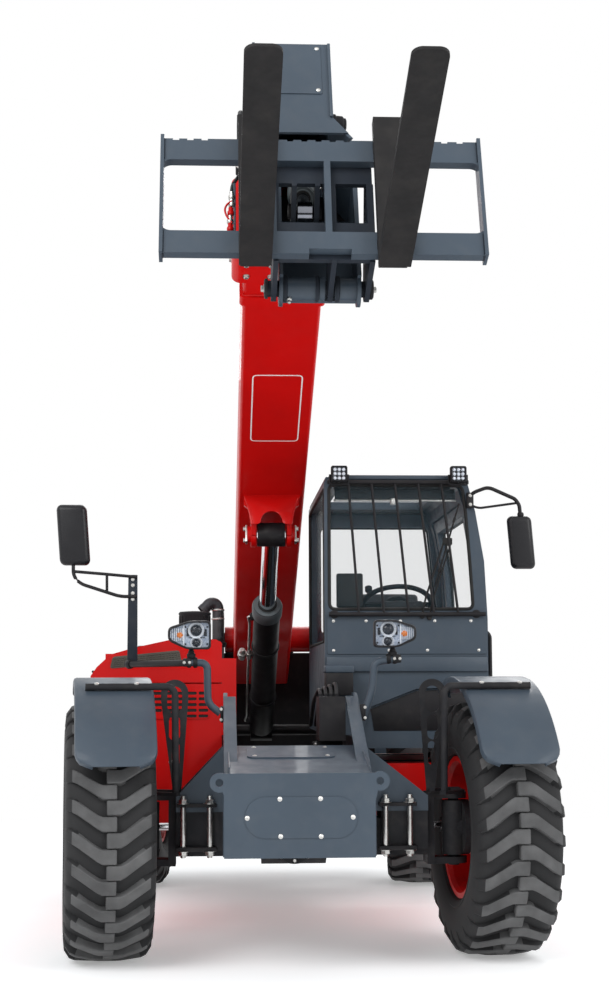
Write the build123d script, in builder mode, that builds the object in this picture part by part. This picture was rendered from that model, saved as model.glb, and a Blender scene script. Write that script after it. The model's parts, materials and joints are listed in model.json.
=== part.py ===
from build123d import *
import math
import os

# Telehandler, in millimetres. It faces -Y, its left side is +X and the ground is Z = 0.
# Heights are above the ground and lengths are counted from the front axle towards the tail.

os.makedirs("parts", exist_ok=True)

# Driving dimensions
FRONT_AXLE = -500.0
WHEELBASE = 2950.0
HUB_Z = 590.0
KINGPIN_X = 720.0
WHEEL_OFFSET = 185.0
FRONT_STEER = 5.5
REAR_STEER = -6.0

RAIL_LEFT = 270.0
RAIL_RIGHT = -345.0
RAIL_THICK = 20.0
RAIL_MID = (RAIL_LEFT + RAIL_RIGHT) / 2

BOOM_X = -100.0
BOOM_ANGLE = 24.83
PIVOT_BEHIND = 3300.0
PIVOT_Z = 1565.0
PIVOT_PIN_R = 45.0
BOOM_WIDTH = 365.0
BOOM_TOP = 177.0
BOOM_FLOOR = -243.0
BOOM_WALL = 10.0
BOOM_LENGTH = 4320.0
COLLAR_START = 3960.0
INNER_GAP = 10.0
INNER_WALL = 8.0
INNER_START = 800.0
INNER_END = 4560.0

LIFT_FOOT_BEHIND = 3200.0
LIFT_FOOT_Z = 965.0
LIFT_EYE_ALONG = 2122.0
LIFT_EYE_UP = -414.0
LIFT_BARREL_LENGTH = 1560.0

TILT_X = -60.0
TILT_FOOT = (4640.0, 60.0)
TILT_EYE = (150.0, 260.0)
TILT_BARREL_LENGTH = 680.0
COUPLER_Z = 2800.0
COUPLER_AHEAD = 1550.0
CARRIAGE_ANGLE = 18.9
CARRIAGE_FACE = 319.0
CARRIAGE_BACK = 279.0
CARRIAGE_FOOT = -46.0
CARRIAGE_TOP = 475.0
CARRIAGE_HALF = 619.0
FORK_X = 260.0
FORK_WIDTH = 122.0
FORK_LENGTH = 1200.0
FORK_TIP = 12.0
FORK_CORNER = 36.0

CAB_INNER_X = 165.0
CAB_OUTER_X = 1020.0
CAB_FRONT = 750.0
CAB_REAR = 2200.0
CAB_FLOOR = 1000.0
CAB_BELT = 1600.0
CAB_WALL = 45.0
POD_INNER_X = -370.0
POD_OUTER_X = -1050.0
POD_FRONT = 800.0
POD_REAR = 2100.0
LID_REAR = 1700.0
POD_SPLIT = 1266.0
TAIL = 4066.0


# Planes. Profiles of the chassis are drawn as (behind the front axle, height).
def side(x):
    return Plane(origin=(x, FRONT_AXLE, 0), x_dir=(0, 1, 0), z_dir=(1, 0, 0))


def facing(behind):
    """Upright plane across the machine, drawn as (x, height), that extrudes forwards."""
    return Plane(origin=(0, FRONT_AXLE + behind, 0), x_dir=(1, 0, 0), z_dir=(0, -1, 0))


def level(z):
    """Flat plane at a height, drawn as (x, behind the front axle)."""
    return Plane(origin=(0, FRONT_AXLE, z), x_dir=(1, 0, 0), z_dir=(0, 0, 1))


def raised(angle):
    """Unit vector forwards and up at an angle above the ground."""
    return Vector(0, -math.cos(math.radians(angle)), math.sin(math.radians(angle)))


def arm_side(origin, angle, x=0.0):
    """Side view of a raised arm, drawn as (along, up), extruding towards -X."""
    return Plane(origin=Vector(*origin) + Vector(x, 0, 0), x_dir=raised(angle), z_dir=(-1, 0, 0))


def arm_section(origin, angle, along):
    """Section across a raised arm, drawn as (x from its origin, up), extruding forwards."""
    return Plane(origin=Vector(*origin) + raised(angle) * along, x_dir=(1, 0, 0), z_dir=raised(angle))


BOOM_PIVOT = (BOOM_X, FRONT_AXLE + PIVOT_BEHIND, PIVOT_Z)
COUPLER_PIN = (0.0, FRONT_AXLE - COUPLER_AHEAD, COUPLER_Z)


def on_boom(along, up, x=0.0):
    """Point given along and above the boom's axis, x from its middle."""
    return arm_side(BOOM_PIVOT, BOOM_ANGLE, x).from_local_coords(Vector(along, up, 0))


def on_carriage(out, up, x=0.0):
    """Point given ahead of and above the coupler's pin."""
    return arm_side(COUPLER_PIN, CARRIAGE_ANGLE, x).from_local_coords(Vector(out, up, 0))


# Shapes
def block(x, behind, z, mode=Mode.ADD):
    """Box between two limits along each axis."""
    centre = (sum(x) / 2, FRONT_AXLE + sum(behind) / 2, sum(z) / 2)
    with Locations(centre):
        Box(x[1] - x[0], behind[1] - behind[0], z[1] - z[0], mode=mode)


def plate(plane, points, thick, mode=Mode.ADD, both=False, round_r=0.0):
    """Straight-edged outline extruded from its plane."""
    with BuildSketch(plane) as shape:
        with BuildLine():
            Polyline(*points, close=True)
        make_face()
        if round_r:
            fillet(shape.vertices(), round_r)
    extrude(shape.sketch, amount=thick, both=both, mode=mode)


def bar(start, end, radius, mode=Mode.ADD):
    """Round bar between two points."""
    start, end = Vector(*start), Vector(*end)
    with BuildSketch(Plane(origin=start, z_dir=end - start)) as ring:
        Circle(radius)
    extrude(ring.sketch, amount=(end - start).length, mode=mode)


def tube(points, radius, bend):
    """Round tube bent through a list of points."""
    with BuildLine() as path:
        FilletPolyline(*points, radius=bend)
    with BuildSketch(Plane(origin=path.line @ 0, z_dir=path.line % 0)) as ring:
        Circle(radius)
    sweep(ring.sketch, path=path.line)


def cross_pin(behind, z, x, radius, mode=Mode.ADD):
    """Round pin along X."""
    bar((x[0], FRONT_AXLE + behind, z), (x[1], FRONT_AXLE + behind, z), radius, mode)


def at(x, behind, z):
    return (x, FRONT_AXLE + behind, z)


def save(piece, name):
    """Labels a finished piece and writes its STEP file."""
    piece.part.label = name
    export_step(piece.part, f"parts/{name}.step")


RAILS = ((RAIL_RIGHT - RAIL_THICK, RAIL_THICK), (RAIL_LEFT, RAIL_THICK))


def axle_brackets(behind):
    """Pads with two gussets each, that carry the chassis on an axle."""
    for inner, outer in ((RAIL_RIGHT - RAIL_THICK, -584), (RAIL_LEFT + RAIL_THICK, 584)):
        block(sorted((inner, outer)), (behind - 130, behind + 130), (676, 716))
        for gusset in (behind - 130, behind + 110):
            plate(facing(gusset), ((inner, 716), (outer, 716), (outer, 745), (inner, 975)), -20)


# Frame: two rails with a tower at the tail for the boom's pin, joined by cross plates
NOSE_END = 350.0
RAIL_PROFILE = (
    (NOSE_END, 470), (2630, 470), (2700, 690), (3200, 690), (3270, 560), (3700, 560), (3700, 1120),
    (3665, 1180), (3665, 1500), (3490, 1565), (3110, 1565), (2950, 1180), (2700, 1000), (NOSE_END, 1000),
)
CROSS_PLATES = (
    # behind from, behind to, z from, z to
    (NOSE_END, 2630, 470, 482),
    (NOSE_END, NOSE_END + 15, 470, 940),
    (2640, 2655, 482, 700),
    (2700, 3200, 690, 705),
    (3255, 3270, 560, 705),
    (3680, 3700, 560, 1100),
    (1050, 1065, 470, 640),
    (3600, 3680, 560, 575),
    (3640, 3655, 575, 1480),
)
with BuildPart() as frame:
    for x, thick in RAILS:
        plate(side(x), RAIL_PROFILE, thick)
        cross_pin(PIVOT_BEHIND, PIVOT_Z, (x, x + thick), 190)
    for near, far, low, high in CROSS_PLATES:
        block((RAIL_RIGHT, RAIL_LEFT), (near, far), (low, high))
    cross_pin(PIVOT_BEHIND, PIVOT_Z, (RAIL_RIGHT - 50, RAIL_LEFT + 50), PIVOT_PIN_R)
    cross_pin(LIFT_FOOT_BEHIND, LIFT_FOOT_Z, (RAIL_RIGHT - 30, RAIL_LEFT + 30), 35)
    for x, outward in ((RAIL_RIGHT - RAIL_THICK, -15), (RAIL_LEFT + RAIL_THICK, 15)):
        cross_pin(PIVOT_BEHIND, PIVOT_Z, (x, x + outward), 95)
        cross_pin(LIFT_FOOT_BEHIND, LIFT_FOOT_Z, (x, x + outward), 60)
    axle_brackets(WHEELBASE)
    block((95, 222), (120, NOSE_END + 15), (990, 1200))
    block((95, 222), (NOSE_END, NOSE_END + 15), (930, 990))
save(frame, "frame")

# Nose: front plate with two eyes, sloped side walls with inward flanges, and a floor
NOSE_TIP = -650.0
WALL_PROFILE = (
    (NOSE_TIP, 515), (-260, 515), (-170, 700), (NOSE_END, 700), (NOSE_END, 1220), (275, 1220),
    (235, 1204), (-500, 867), (NOSE_TIP, 867),
)
NOSE_EYES = ((-386, 838), (311, 842))
NOSE_EYE_R = 17.0
with BuildPart() as nose:
    plate(facing(NOSE_TIP), ((-349, 515), (284, 515), (284, 877), (-349, 877)), -20)
    for x, z in NOSE_EYES:
        with BuildSketch(facing(NOSE_TIP)) as ear:
            with Locations((x, z)):
                Circle(42)
            with BuildLine():
                inner = -349 if x < 0 else 284
                reach = math.copysign(45, x)
                Polyline((inner, 877), (x, 880), (x, z), (inner, 730), (inner - reach, 730),
                         (inner - reach, 877), close=True)
            make_face()
        extrude(ear.sketch, amount=-20)
        bar(at(x, NOSE_TIP - 1, z), at(x, NOSE_TIP + 21, z), NOSE_EYE_R, Mode.SUBTRACT)
    for x, thick in RAILS:
        plate(side(x), WALL_PROFILE, thick)
    slope = math.atan2(1204 - 867, 235 + 500)
    for x in (RAIL_RIGHT - RAIL_THICK, RAIL_LEFT - 40):
        flange = Plane(origin=at(x, -500, 867), x_dir=(1, 0, 0), z_dir=(0, -math.sin(slope), math.cos(slope)))
        plate(flange, ((0, 0), (60, 0), (60, 805), (0, 805)), -10)
    plate(side(RAIL_RIGHT), ((-630, 866), (-50, 965), (-50, 975), (-630, 876)), RAIL_LEFT - RAIL_RIGHT)
    block((RAIL_RIGHT, RAIL_LEFT), (-630, -260), (515, 527))
    block((RAIL_RIGHT, RAIL_LEFT), (-62, -50), (700, 966))
    block((RAIL_RIGHT, RAIL_LEFT), (-275, -260), (527, 700))
    block((RAIL_RIGHT, RAIL_LEFT), (-275, NOSE_END), (700, 712))
    with BuildSketch(facing(NOSE_TIP)) as hatch:
        with Locations((-32, 688)):
            SlotOverall(487, 176)
    extrude(hatch.sketch, amount=4)
    fall = math.atan2(99, 580)
    floor_plane = Plane(
        origin=at(-60, -210, 948), x_dir=(1, 0, 0), z_dir=(0, -math.sin(fall), math.cos(fall)),
    )
    with BuildSketch(floor_plane) as lid_plate:
        RectangleRounded(400, 250, 40)
    extrude(lid_plate.sketch, amount=6, both=True)
    axle_brackets(0)
save(nose, "nose")

# Axles: beam with a differential, yokes that hold the knuckles, and the steering cylinder
AXLES = (("front_axle", 0.0, -1), ("rear_axle", WHEELBASE, 1))
YOKE_X = 586.0
STEER_ARM = 150.0
for name, behind, fore in AXLES:
    with BuildPart() as axle:
        block((-YOKE_X, YOKE_X), (behind - 75, behind + 75), (470, 640))
        cross_pin(behind, 555, (RAIL_MID - 150, RAIL_MID + 150), 128)
        for turn in (1, -1):
            block(sorted((turn * YOKE_X, turn * (YOKE_X + 34))), (behind - 70, behind + 70), (425, 755))
            for low, high in ((425, 455), (725, 755)):
                block(sorted((turn * YOKE_X, turn * KINGPIN_X)), (behind - 60, behind + 60), (low, high))
                with Locations(at(turn * KINGPIN_X, behind, (low + high) / 2)):
                    Cylinder(60, high - low)
            bar(at(turn * KINGPIN_X, behind, 400), at(turn * KINGPIN_X, behind, 800), 25.5, Mode.SUBTRACT)
            pad = sorted((turn * 368, turn * 582))
            block(pad, (behind - 125, behind + 125), (640, 676))
            block(pad, (behind - 125, behind + 125), (500, 640))
        rod_line = behind - fore * STEER_ARM
        bar(at(-200, rod_line, HUB_Z), at(200, rod_line, HUB_Z), 38)
        bar(at(-205, rod_line, HUB_Z), at(205, rod_line, HUB_Z), 18.5, Mode.SUBTRACT)
        for x in (-150, 150):
            block((x - 20, x + 20), sorted((rod_line - fore * -20, behind - fore * 60)), (560, 575))
    save(axle, name)

# Wheel corners
CORNERS = (
    # name, side, behind, fore (-1 when the fender's lip faces forwards), steer at rest
    ("front_left", 1, 0.0, -1, FRONT_STEER),
    ("front_right", -1, 0.0, -1, FRONT_STEER),
    ("rear_left", 1, WHEELBASE, 1, REAR_STEER),
    ("rear_right", -1, WHEELBASE, 1, REAR_STEER),
)
FENDER_R = 705.0
FENDER_X = (-10.0, 350.0)
FENDER_THICK = 6.0
STAY_R = 16.0


def corner_plane(outward, behind, steer):
    """Plane at a kingpin, at the hub's height: x points outboard and z up."""
    turned = math.radians(steer)
    return Plane(
        origin=at(outward * KINGPIN_X, behind, HUB_Z),
        x_dir=(outward * math.cos(turned), outward * math.sin(turned), 0),
        z_dir=(0, 0, 1),
    )


def inside(base, origin, x_dir, z_dir):
    """Plane given in another plane's coordinates."""
    def turn(direction):
        return base.from_local_coords(Vector(*direction)) - base.origin

    return Plane(origin=base.from_local_coords(Vector(*origin)), x_dir=turn(x_dir), z_dir=turn(z_dir))


TYRE_PROFILE = (
    # out from the wheel's middle, radius
    (-145, 312), (-145, 332), (-180, 340), (-198, 380), (-202.5, 450), (-192, 535), (-165, 577),
    (-100, 590), (100, 590),
    (165, 577), (192, 535), (202.5, 450), (198, 380), (180, 340), (145, 332), (145, 312),
)
RIM_PROFILE = (
    (-165, 330), (-165, 306), (-142, 296), (50, 285), (50, 130), (-105, 130), (-105, 61),
    (70, 61), (115, 61), (115, 130), (70, 150), (70, 285), (142, 296), (165, 306), (165, 330),
    (150, 330), (146, 311), (-146, 311), (-150, 330),
)
for name, outward, behind, fore, steer in CORNERS:
    base = corner_plane(outward, behind, steer)
    lead = fore * outward
    section = inside(base, (WHEEL_OFFSET, 0, 0), (1, 0, 0), (0, -1, 0))
    spin = Axis(base.origin, base.x_dir)

    with BuildPart() as tyre:
        with BuildSketch(section) as profile:
            with BuildLine():
                Polyline(*TYRE_PROFILE, close=True)
            make_face()
        revolve(profile.sketch, axis=spin)
    save(tyre, f"{name}_tyre")

    with BuildPart() as rim:
        with BuildSketch(section) as profile:
            with BuildLine():
                Polyline(*RIM_PROFILE, close=True)
            make_face()
        revolve(profile.sketch, axis=spin)
    save(rim, f"{name}_rim")

    with BuildPart() as knuckle:
        upright = inside(base, (0, 0, -175), (1, 0, 0), (0, 0, 1))
        with BuildSketch(upright) as kingpin:
            Circle(25)
        extrude(kingpin.sketch, amount=360)
        with BuildSketch(inside(base, (0, 0, -125), (1, 0, 0), (0, 0, 1))) as body:
            Circle(56)
        extrude(body.sketch, amount=250)
        spindle = inside(base, (0, 0, 0), (0, 1, 0), (1, 0, 0))
        with BuildSketch(spindle) as stub:
            Circle(60)
        extrude(stub.sketch, amount=WHEEL_OFFSET + 60)
        with BuildSketch(inside(base, (30, 0, 0), (0, 1, 0), (1, 0, 0))) as drum:
            Circle(128)
        extrude(drum.sketch, amount=35)
        for low in (-35, 23):
            with BuildSketch(inside(base, (0, 0, low), (1, 0, 0), (0, 0, 1))) as arm:
                with Locations((0, -lead * STEER_ARM)):
                    Circle(30)
                with Locations((0, -lead * STEER_ARM / 2)):
                    Rectangle(46, STEER_ARM)
            extrude(arm.sketch, amount=12)
        cap = inside(base, (0, 0, 170), (1, 0, 0), (0, 0, 1))
        plate(cap, ((-30, -30), (30, -30), (30, 30), (-30, 30)), 15)
        plate(cap, ((-20, 0), (18, 0), (8, lead * 200), (-30, lead * 200)), 15)
        plate(cap, ((8, lead * 196), (-28, lead * 196), (-131, lead * 290), (-111, lead * 320)), 15)
        plate(cap, ((0, -20), (0, 20), (-150, lead * 96 + 12), (-150, lead * 96 - 12)), 15)
        stay = [
            base.from_local_coords(Vector(*point))
            for point in ((-111, lead * 290, 172), (-105, lead * 290, 661), (300, lead * 290, 661))
        ]
        tube(stay, STAY_R, 40)
        leg = inside(base, (0, lead * 96, 0), (1, 0, 0), (0, -1, 0))
        with BuildSketch(leg) as bracket:
            with BuildLine():
                Polyline((-150, 172), (-112, 172), (-54, 600), (-54, 630), (-182, 630), (-182, 600),
                         close=True)
            make_face()
            with Locations((-118, 630)):
                Circle(64)
            for rise, half in ((600, 34), (470, 26), (350, 18)):
                with Locations((-118 if rise > 400 else -124, rise)):
                    SlotOverall(90 + half, 2 * half, rotation=90, mode=Mode.SUBTRACT)
        extrude(bracket.sketch, amount=4, both=True)
    save(knuckle, f"{name}_knuckle")

    rear_reach = 117 if fore < 0 else 114
    front_reach = 27 if fore < 0 else 50
    spread = rear_reach - front_reach
    with BuildPart() as fender:
        for inner_r, width, offset in (
            (FENDER_R - FENDER_THICK, FENDER_X[1] - FENDER_X[0], 0),
            (FENDER_R - 35, FENDER_THICK, 0),
            (FENDER_R - 35, FENDER_THICK, FENDER_X[1] - FENDER_X[0] - FENDER_THICK),
        ):
            flat = inside(base, (FENDER_X[0] + offset, 0, 0), (0, lead, 0), (1, 0, 0))
            with BuildSketch(flat) as arc:
                with BuildLine():
                    outer = CenterArc((0, 0), FENDER_R, lead * front_reach, lead * spread)
                    lower = CenterArc((0, 0), inner_r, lead * front_reach, lead * spread)
                    Line(outer @ 0, lower @ 0)
                    Line(outer @ 1, lower @ 1)
                make_face()
            extrude(arc.sketch, amount=width)
    save(fender, f"{name}_fender")

# Steering rods slide across the machine in the axles' cylinders, an eye at each end
for name, behind, fore in AXLES:
    rod_line = behind - fore * STEER_ARM
    steer = FRONT_STEER if fore < 0 else REAR_STEER
    shift = fore * STEER_ARM * math.sin(math.radians(steer))
    with BuildPart() as rod:
        bar(at(shift - 700, rod_line, HUB_Z), at(shift + 700, rod_line, HUB_Z), 18)
        for x in (-KINGPIN_X, KINGPIN_X):
            with Locations(at(x + shift, rod_line, HUB_Z)):
                Cylinder(27, 40)
    save(rod, name.replace("axle", "steering_rod"))

# Boom: outer box with a collar at its mouth and lugs for the lift cylinder


def boom_box(start, end, width, low, high, mode=Mode.ADD, round_r=0.0):
    """Box along the boom's axis."""
    with BuildSketch(arm_section(BOOM_PIVOT, BOOM_ANGLE, start)) as face:
        with Locations((0, (low + high) / 2)):
            if round_r:
                RectangleRounded(width, high - low, round_r)
            else:
                Rectangle(width, high - low)
    extrude(face.sketch, amount=end - start, mode=mode)


MOUTH_WIDTH = 515.0
MOUTH_SHIFT = 22.0
LUG_REACH = 110.0
SKIRT_ALONG = 2250.0
with BuildPart() as boom:
    boom_box(-180, BOOM_LENGTH, BOOM_WIDTH, BOOM_FLOOR, BOOM_TOP, round_r=18)
    boom_box(COLLAR_START, COLLAR_START + 60, BOOM_WIDTH + 30, BOOM_FLOOR - 14, BOOM_TOP + 14, round_r=18)
    with BuildSketch(arm_section(BOOM_PIVOT, BOOM_ANGLE, BOOM_LENGTH - 180)) as mouth_block:
        with Locations((MOUTH_SHIFT, (BOOM_FLOOR + BOOM_TOP) / 2)):
            RectangleRounded(MOUTH_WIDTH, BOOM_TOP - BOOM_FLOOR + 50, 40)
    extrude(mouth_block.sketch, amount=180)
    inner_width = BOOM_WIDTH - 2 * BOOM_WALL
    hollow = (BOOM_FLOOR + BOOM_WALL, BOOM_TOP - BOOM_WALL)
    boom_box(-170, BOOM_LENGTH + 1, inner_width, *hollow, Mode.SUBTRACT)
    for x in (-LUG_REACH, LUG_REACH - 25):
        plate(
            arm_side(BOOM_PIVOT, BOOM_ANGLE, x + 25),
            ((1960, BOOM_FLOOR + 5), (SKIRT_ALONG, BOOM_FLOOR + 5), (SKIRT_ALONG, -400), (2190, -455),
             (2060, -455)),
            25,
        )
        bar(on_boom(LIFT_EYE_ALONG, LIFT_EYE_UP, x), on_boom(LIFT_EYE_ALONG, LIFT_EYE_UP, x + 25), 70)
    for x in (-LUG_REACH - 20, LUG_REACH):
        bar(on_boom(LIFT_EYE_ALONG, LIFT_EYE_UP, x), on_boom(LIFT_EYE_ALONG, LIFT_EYE_UP, x + 20), 45)
    skirt = arm_section(BOOM_PIVOT, BOOM_ANGLE, SKIRT_ALONG)
    plate(
        skirt,
        ((-150, BOOM_FLOOR + 5), (150, BOOM_FLOOR + 5), (150, -300), (LUG_REACH, -340), (-LUG_REACH, -340),
         (-150, -300)),
        -14,
    )
    bar(on_boom(0, 0, RAIL_RIGHT - BOOM_X + 5), on_boom(0, 0, RAIL_LEFT - BOOM_X - 5), 85)
    bar(on_boom(0, 0, -400), on_boom(0, 0, 400), PIVOT_PIN_R + 0.5, Mode.SUBTRACT)
save(boom, "boom")

# Extension: inner boom that ends in a gooseneck head
inner_wide = BOOM_WIDTH - 2 * BOOM_WALL - 2 * INNER_GAP
inner_low = BOOM_FLOOR + BOOM_WALL + INNER_GAP
inner_high = BOOM_TOP - BOOM_WALL - INNER_GAP
with BuildPart() as inner_boom:
    boom_box(INNER_START, INNER_END, inner_wide, inner_low, inner_high, round_r=15)
    boom_box(
        INNER_START - 1, INNER_END + 1, inner_wide - 2 * INNER_WALL,
        inner_low + INNER_WALL, inner_high - INNER_WALL, Mode.SUBTRACT,
    )
save(inner_boom, "inner_boom")

HEAD_UPPER = ((INNER_END, -243), (INNER_END, 168), (5190, 144), (5184, -262), (4640, -262))
HEAD_LOWER = ((4700, -395), (4992, -395), (5010, -916), (4830, -916))
HEAD_RELIEF = ((4992, -430), (4992, -318), (5100, -338), (5200, -372), (5200, -430))
HEAD_HALF = 160.0
HEAD_SHIFT = 100.0
HEAD_THICK = 15.0
COUPLER_ALONG, COUPLER_UP = 4920.0, -916.0
with BuildPart() as boom_head:
    for x in (-HEAD_HALF, HEAD_HALF - HEAD_THICK):
        plate(arm_side(BOOM_PIVOT, BOOM_ANGLE, x + HEAD_THICK), HEAD_UPPER, HEAD_THICK)
    for x in (-HEAD_HALF + HEAD_SHIFT, HEAD_HALF + HEAD_SHIFT - HEAD_THICK):
        plate(arm_side(BOOM_PIVOT, BOOM_ANGLE, x + HEAD_THICK), HEAD_LOWER, HEAD_THICK)
    for x in (-HEAD_HALF, HEAD_HALF - HEAD_THICK):
        slant = (
            (x, -258), (x + HEAD_THICK, -258), (x + HEAD_THICK + HEAD_SHIFT, -400), (x + HEAD_SHIFT, -400),
        )
        plate(arm_section(BOOM_PIVOT, BOOM_ANGLE, 4690), slant, 494)
    roof = ((INNER_END, 156), (INNER_END, 168), (5190, 144), (5190, 132))
    plate(arm_side(BOOM_PIVOT, BOOM_ANGLE, HEAD_HALF), roof, 2 * HEAD_HALF)
    plate(arm_side(BOOM_PIVOT, BOOM_ANGLE), HEAD_RELIEF, 400, Mode.SUBTRACT, both=True)
    front_face = arm_section(BOOM_PIVOT, BOOM_ANGLE, 5190)
    plate(
        front_face,
        ((-HEAD_HALF, 140), (HEAD_HALF, 140), (HEAD_HALF, -262), (HEAD_HALF + 58, -344),
         (-HEAD_HALF + 66, -344), (-HEAD_HALF + 8, -262)),
        -12,
    )
    boom_box(INNER_END, INNER_END + 20, 345, -235, 172)
    boom_box(INNER_END - 1, INNER_END + 21, 240, -180, 120, Mode.SUBTRACT)
    plate(
        arm_side(BOOM_PIVOT, BOOM_ANGLE, HEAD_HALF + HEAD_SHIFT),
        ((4700, -395), (4715, -395), (4845, -916), (4830, -916)),
        2 * HEAD_HALF,
    )
    for x in ((-60, 120), (160, 260)):
        bar(on_boom(COUPLER_ALONG, COUPLER_UP, x[0]), on_boom(COUPLER_ALONG, COUPLER_UP, x[1]), 46)
    for x in (-60, 245):
        bar(on_boom(COUPLER_ALONG, COUPLER_UP, x), on_boom(COUPLER_ALONG, COUPLER_UP, x + 15), 70)
    bar(on_boom(COUPLER_ALONG, COUPLER_UP, -70), on_boom(COUPLER_ALONG, COUPLER_UP, 300), 33, Mode.SUBTRACT)
    bar(on_boom(*TILT_FOOT, -HEAD_HALF), on_boom(*TILT_FOOT, HEAD_HALF), 22)
    with BuildSketch(arm_section(BOOM_PIVOT, BOOM_ANGLE, 5190)) as badge:
        with Locations((0, -2)):
            RectangleRounded(240, 270, 6)
    extrude(badge.sketch, amount=4)
save(boom_head, "boom_head")

# Coupler: ears on the head's pin, ribs up to the carriage and lugs for the tilt cylinder
EAR_PROFILE = ((-46, 15), (-15, -46), (60, -50), (279, -55), (279, 475), (215, 475))
TILT_LUG = ((279, 375), (279, 290), (170, 215), (150, 215), (120, 300), (150, 305))
with BuildPart() as coupler:
    for x in (-190, 30, 175):
        plate(arm_side(COUPLER_PIN, CARRIAGE_ANGLE, x + 20), EAR_PROFILE, 20)
        bar(on_carriage(0, 0, x), on_carriage(0, 0, x + 20), 50)
    bar(on_carriage(0, 0, -205), on_carriage(0, 0, 200), 32)
    bar(on_carriage(222, 425, -190), on_carriage(222, 425, 195), 39)
    for x in (TILT_X - 55, TILT_X + 35):
        plate(arm_side(COUPLER_PIN, CARRIAGE_ANGLE, x + 20), TILT_LUG, 20)
        bar(on_carriage(*TILT_EYE, x), on_carriage(*TILT_EYE, x + 20), 45)
    for low, high in ((300, CARRIAGE_TOP), (CARRIAGE_FOOT, 120)):
        with BuildSketch(arm_section(COUPLER_PIN, CARRIAGE_ANGLE, CARRIAGE_BACK - 24)) as tie:
            with Locations((2, (low + high) / 2)):
                Rectangle(386, high - low)
        extrude(tie.sketch, amount=24)
save(coupler, "coupler")

# Carriage frame: two bars between end plates, with uprights in the middle
BAR_HEIGHT = 98.0
BAR_THICK = 40.0
END_PLATE = 14.0
carriage_face = arm_section(COUPLER_PIN, CARRIAGE_ANGLE, CARRIAGE_FACE)
with BuildPart() as fork_carriage:
    with BuildSketch(carriage_face) as grid:
        with Locations((0, (CARRIAGE_FOOT + CARRIAGE_TOP) / 2)):
            Rectangle(2 * CARRIAGE_HALF, CARRIAGE_TOP - CARRIAGE_FOOT)
        opening = CARRIAGE_TOP - CARRIAGE_FOOT - 2 * BAR_HEIGHT
        bay = CARRIAGE_HALF - 250
        for x in (-1, 1):
            with Locations((x * (250 + bay / 2), (CARRIAGE_FOOT + CARRIAGE_TOP) / 2)):
                RectangleRounded(bay + 1, opening, 45, mode=Mode.SUBTRACT)
            with Locations((x * 105 + 20, (CARRIAGE_FOOT + CARRIAGE_TOP) / 2)):
                Rectangle(185, opening, mode=Mode.SUBTRACT)
        with Locations((23, CARRIAGE_FOOT + 10)):
            Rectangle(160, 24, mode=Mode.SUBTRACT)
        for x in (-560, -505, -450, -120, -65, -10, 45, 100, 480, 540):
            with Locations((x, CARRIAGE_TOP)):
                Rectangle(24, 14, mode=Mode.SUBTRACT)
    extrude(grid.sketch, amount=-BAR_THICK)
    for x in (-CARRIAGE_HALF, CARRIAGE_HALF - END_PLATE):
        foot, top = CARRIAGE_FOOT - 3, CARRIAGE_TOP + 12
        plate(
            arm_side(COUPLER_PIN, CARRIAGE_ANGLE, x + END_PLATE),
            ((255, foot), (330, foot), (330, top), (255, top)),
            END_PLATE,
        )
save(fork_carriage, "fork_carriage")

with BuildPart() as forks:
    for x in (-FORK_X, FORK_X):
        edge = arm_side(COUPLER_PIN, CARRIAGE_ANGLE, x + FORK_WIDTH / 2)
        shank_back = CARRIAGE_FACE + 12
        heel = shank_back + 48
        plate(
            edge,
            ((shank_back, -110), (heel, -110), (CARRIAGE_FACE + FORK_LENGTH, -88),
             (CARRIAGE_FACE + FORK_LENGTH, -88 + FORK_TIP), (heel, -62), (heel, 545), (shank_back, 545)),
            FORK_WIDTH,
        )
        for low, high in ((CARRIAGE_TOP - 60, CARRIAGE_TOP - 20), (CARRIAGE_FOOT + 20, CARRIAGE_FOOT + 60)):
            hook = ((CARRIAGE_FACE, low), (shank_back, low), (shank_back, high), (CARRIAGE_FACE, high))
            plate(edge, hook, FORK_WIDTH)
    tip = on_carriage(CARRIAGE_FACE + FORK_LENGTH, -88)
    ahead = forks.edges().filter_by(lambda edge: edge.center().Y < tip.Y + 2 * FORK_TIP)
    corners = ahead.filter_by(lambda edge: edge.length < 2 * FORK_TIP)
    fillet(corners, FORK_CORNER)
save(forks, "forks")

# Lift cylinder, from the frame's pin to the lugs under the boom
lift_foot = Vector(BOOM_X, FRONT_AXLE + LIFT_FOOT_BEHIND, LIFT_FOOT_Z)
lift_eye = on_boom(LIFT_EYE_ALONG, LIFT_EYE_UP)
lift_line = (lift_eye - lift_foot).normalized()
LIFT_BORE = (120.0, 1480.0)
LIFT_PISTON = (420.0, 500.0)
LIFT_ROD_R = 48.0
with BuildPart() as lift_barrel:
    mouth = lift_foot + lift_line * LIFT_BARREL_LENGTH
    bar(lift_foot + lift_line * 60, mouth, 78)
    bar(mouth - lift_line * 90, mouth, 82)
    cross_pin(LIFT_FOOT_BEHIND, LIFT_FOOT_Z, (BOOM_X - 70, BOOM_X + 70), 70)
    cross_pin(LIFT_FOOT_BEHIND, LIFT_FOOT_Z, (BOOM_X - 71, BOOM_X + 71), 35.5, Mode.SUBTRACT)
    bar(lift_foot + lift_line * LIFT_BORE[0], lift_foot + lift_line * LIFT_BORE[1], 65, Mode.SUBTRACT)
    bar(lift_foot + lift_line * (LIFT_BORE[1] - 1), mouth + lift_line, LIFT_ROD_R + 0.5, Mode.SUBTRACT)
save(lift_barrel, "lift_cylinder_barrel")

with BuildPart() as lift_rod:
    bar(lift_foot + lift_line * LIFT_PISTON[0], lift_eye - lift_line * 40, LIFT_ROD_R)
    bar(lift_foot + lift_line * LIFT_PISTON[0], lift_foot + lift_line * LIFT_PISTON[1], 64)
    bar(lift_eye + Vector(-78, 0, 0), lift_eye + Vector(78, 0, 0), 66)
save(lift_rod, "lift_cylinder_rod")

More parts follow.
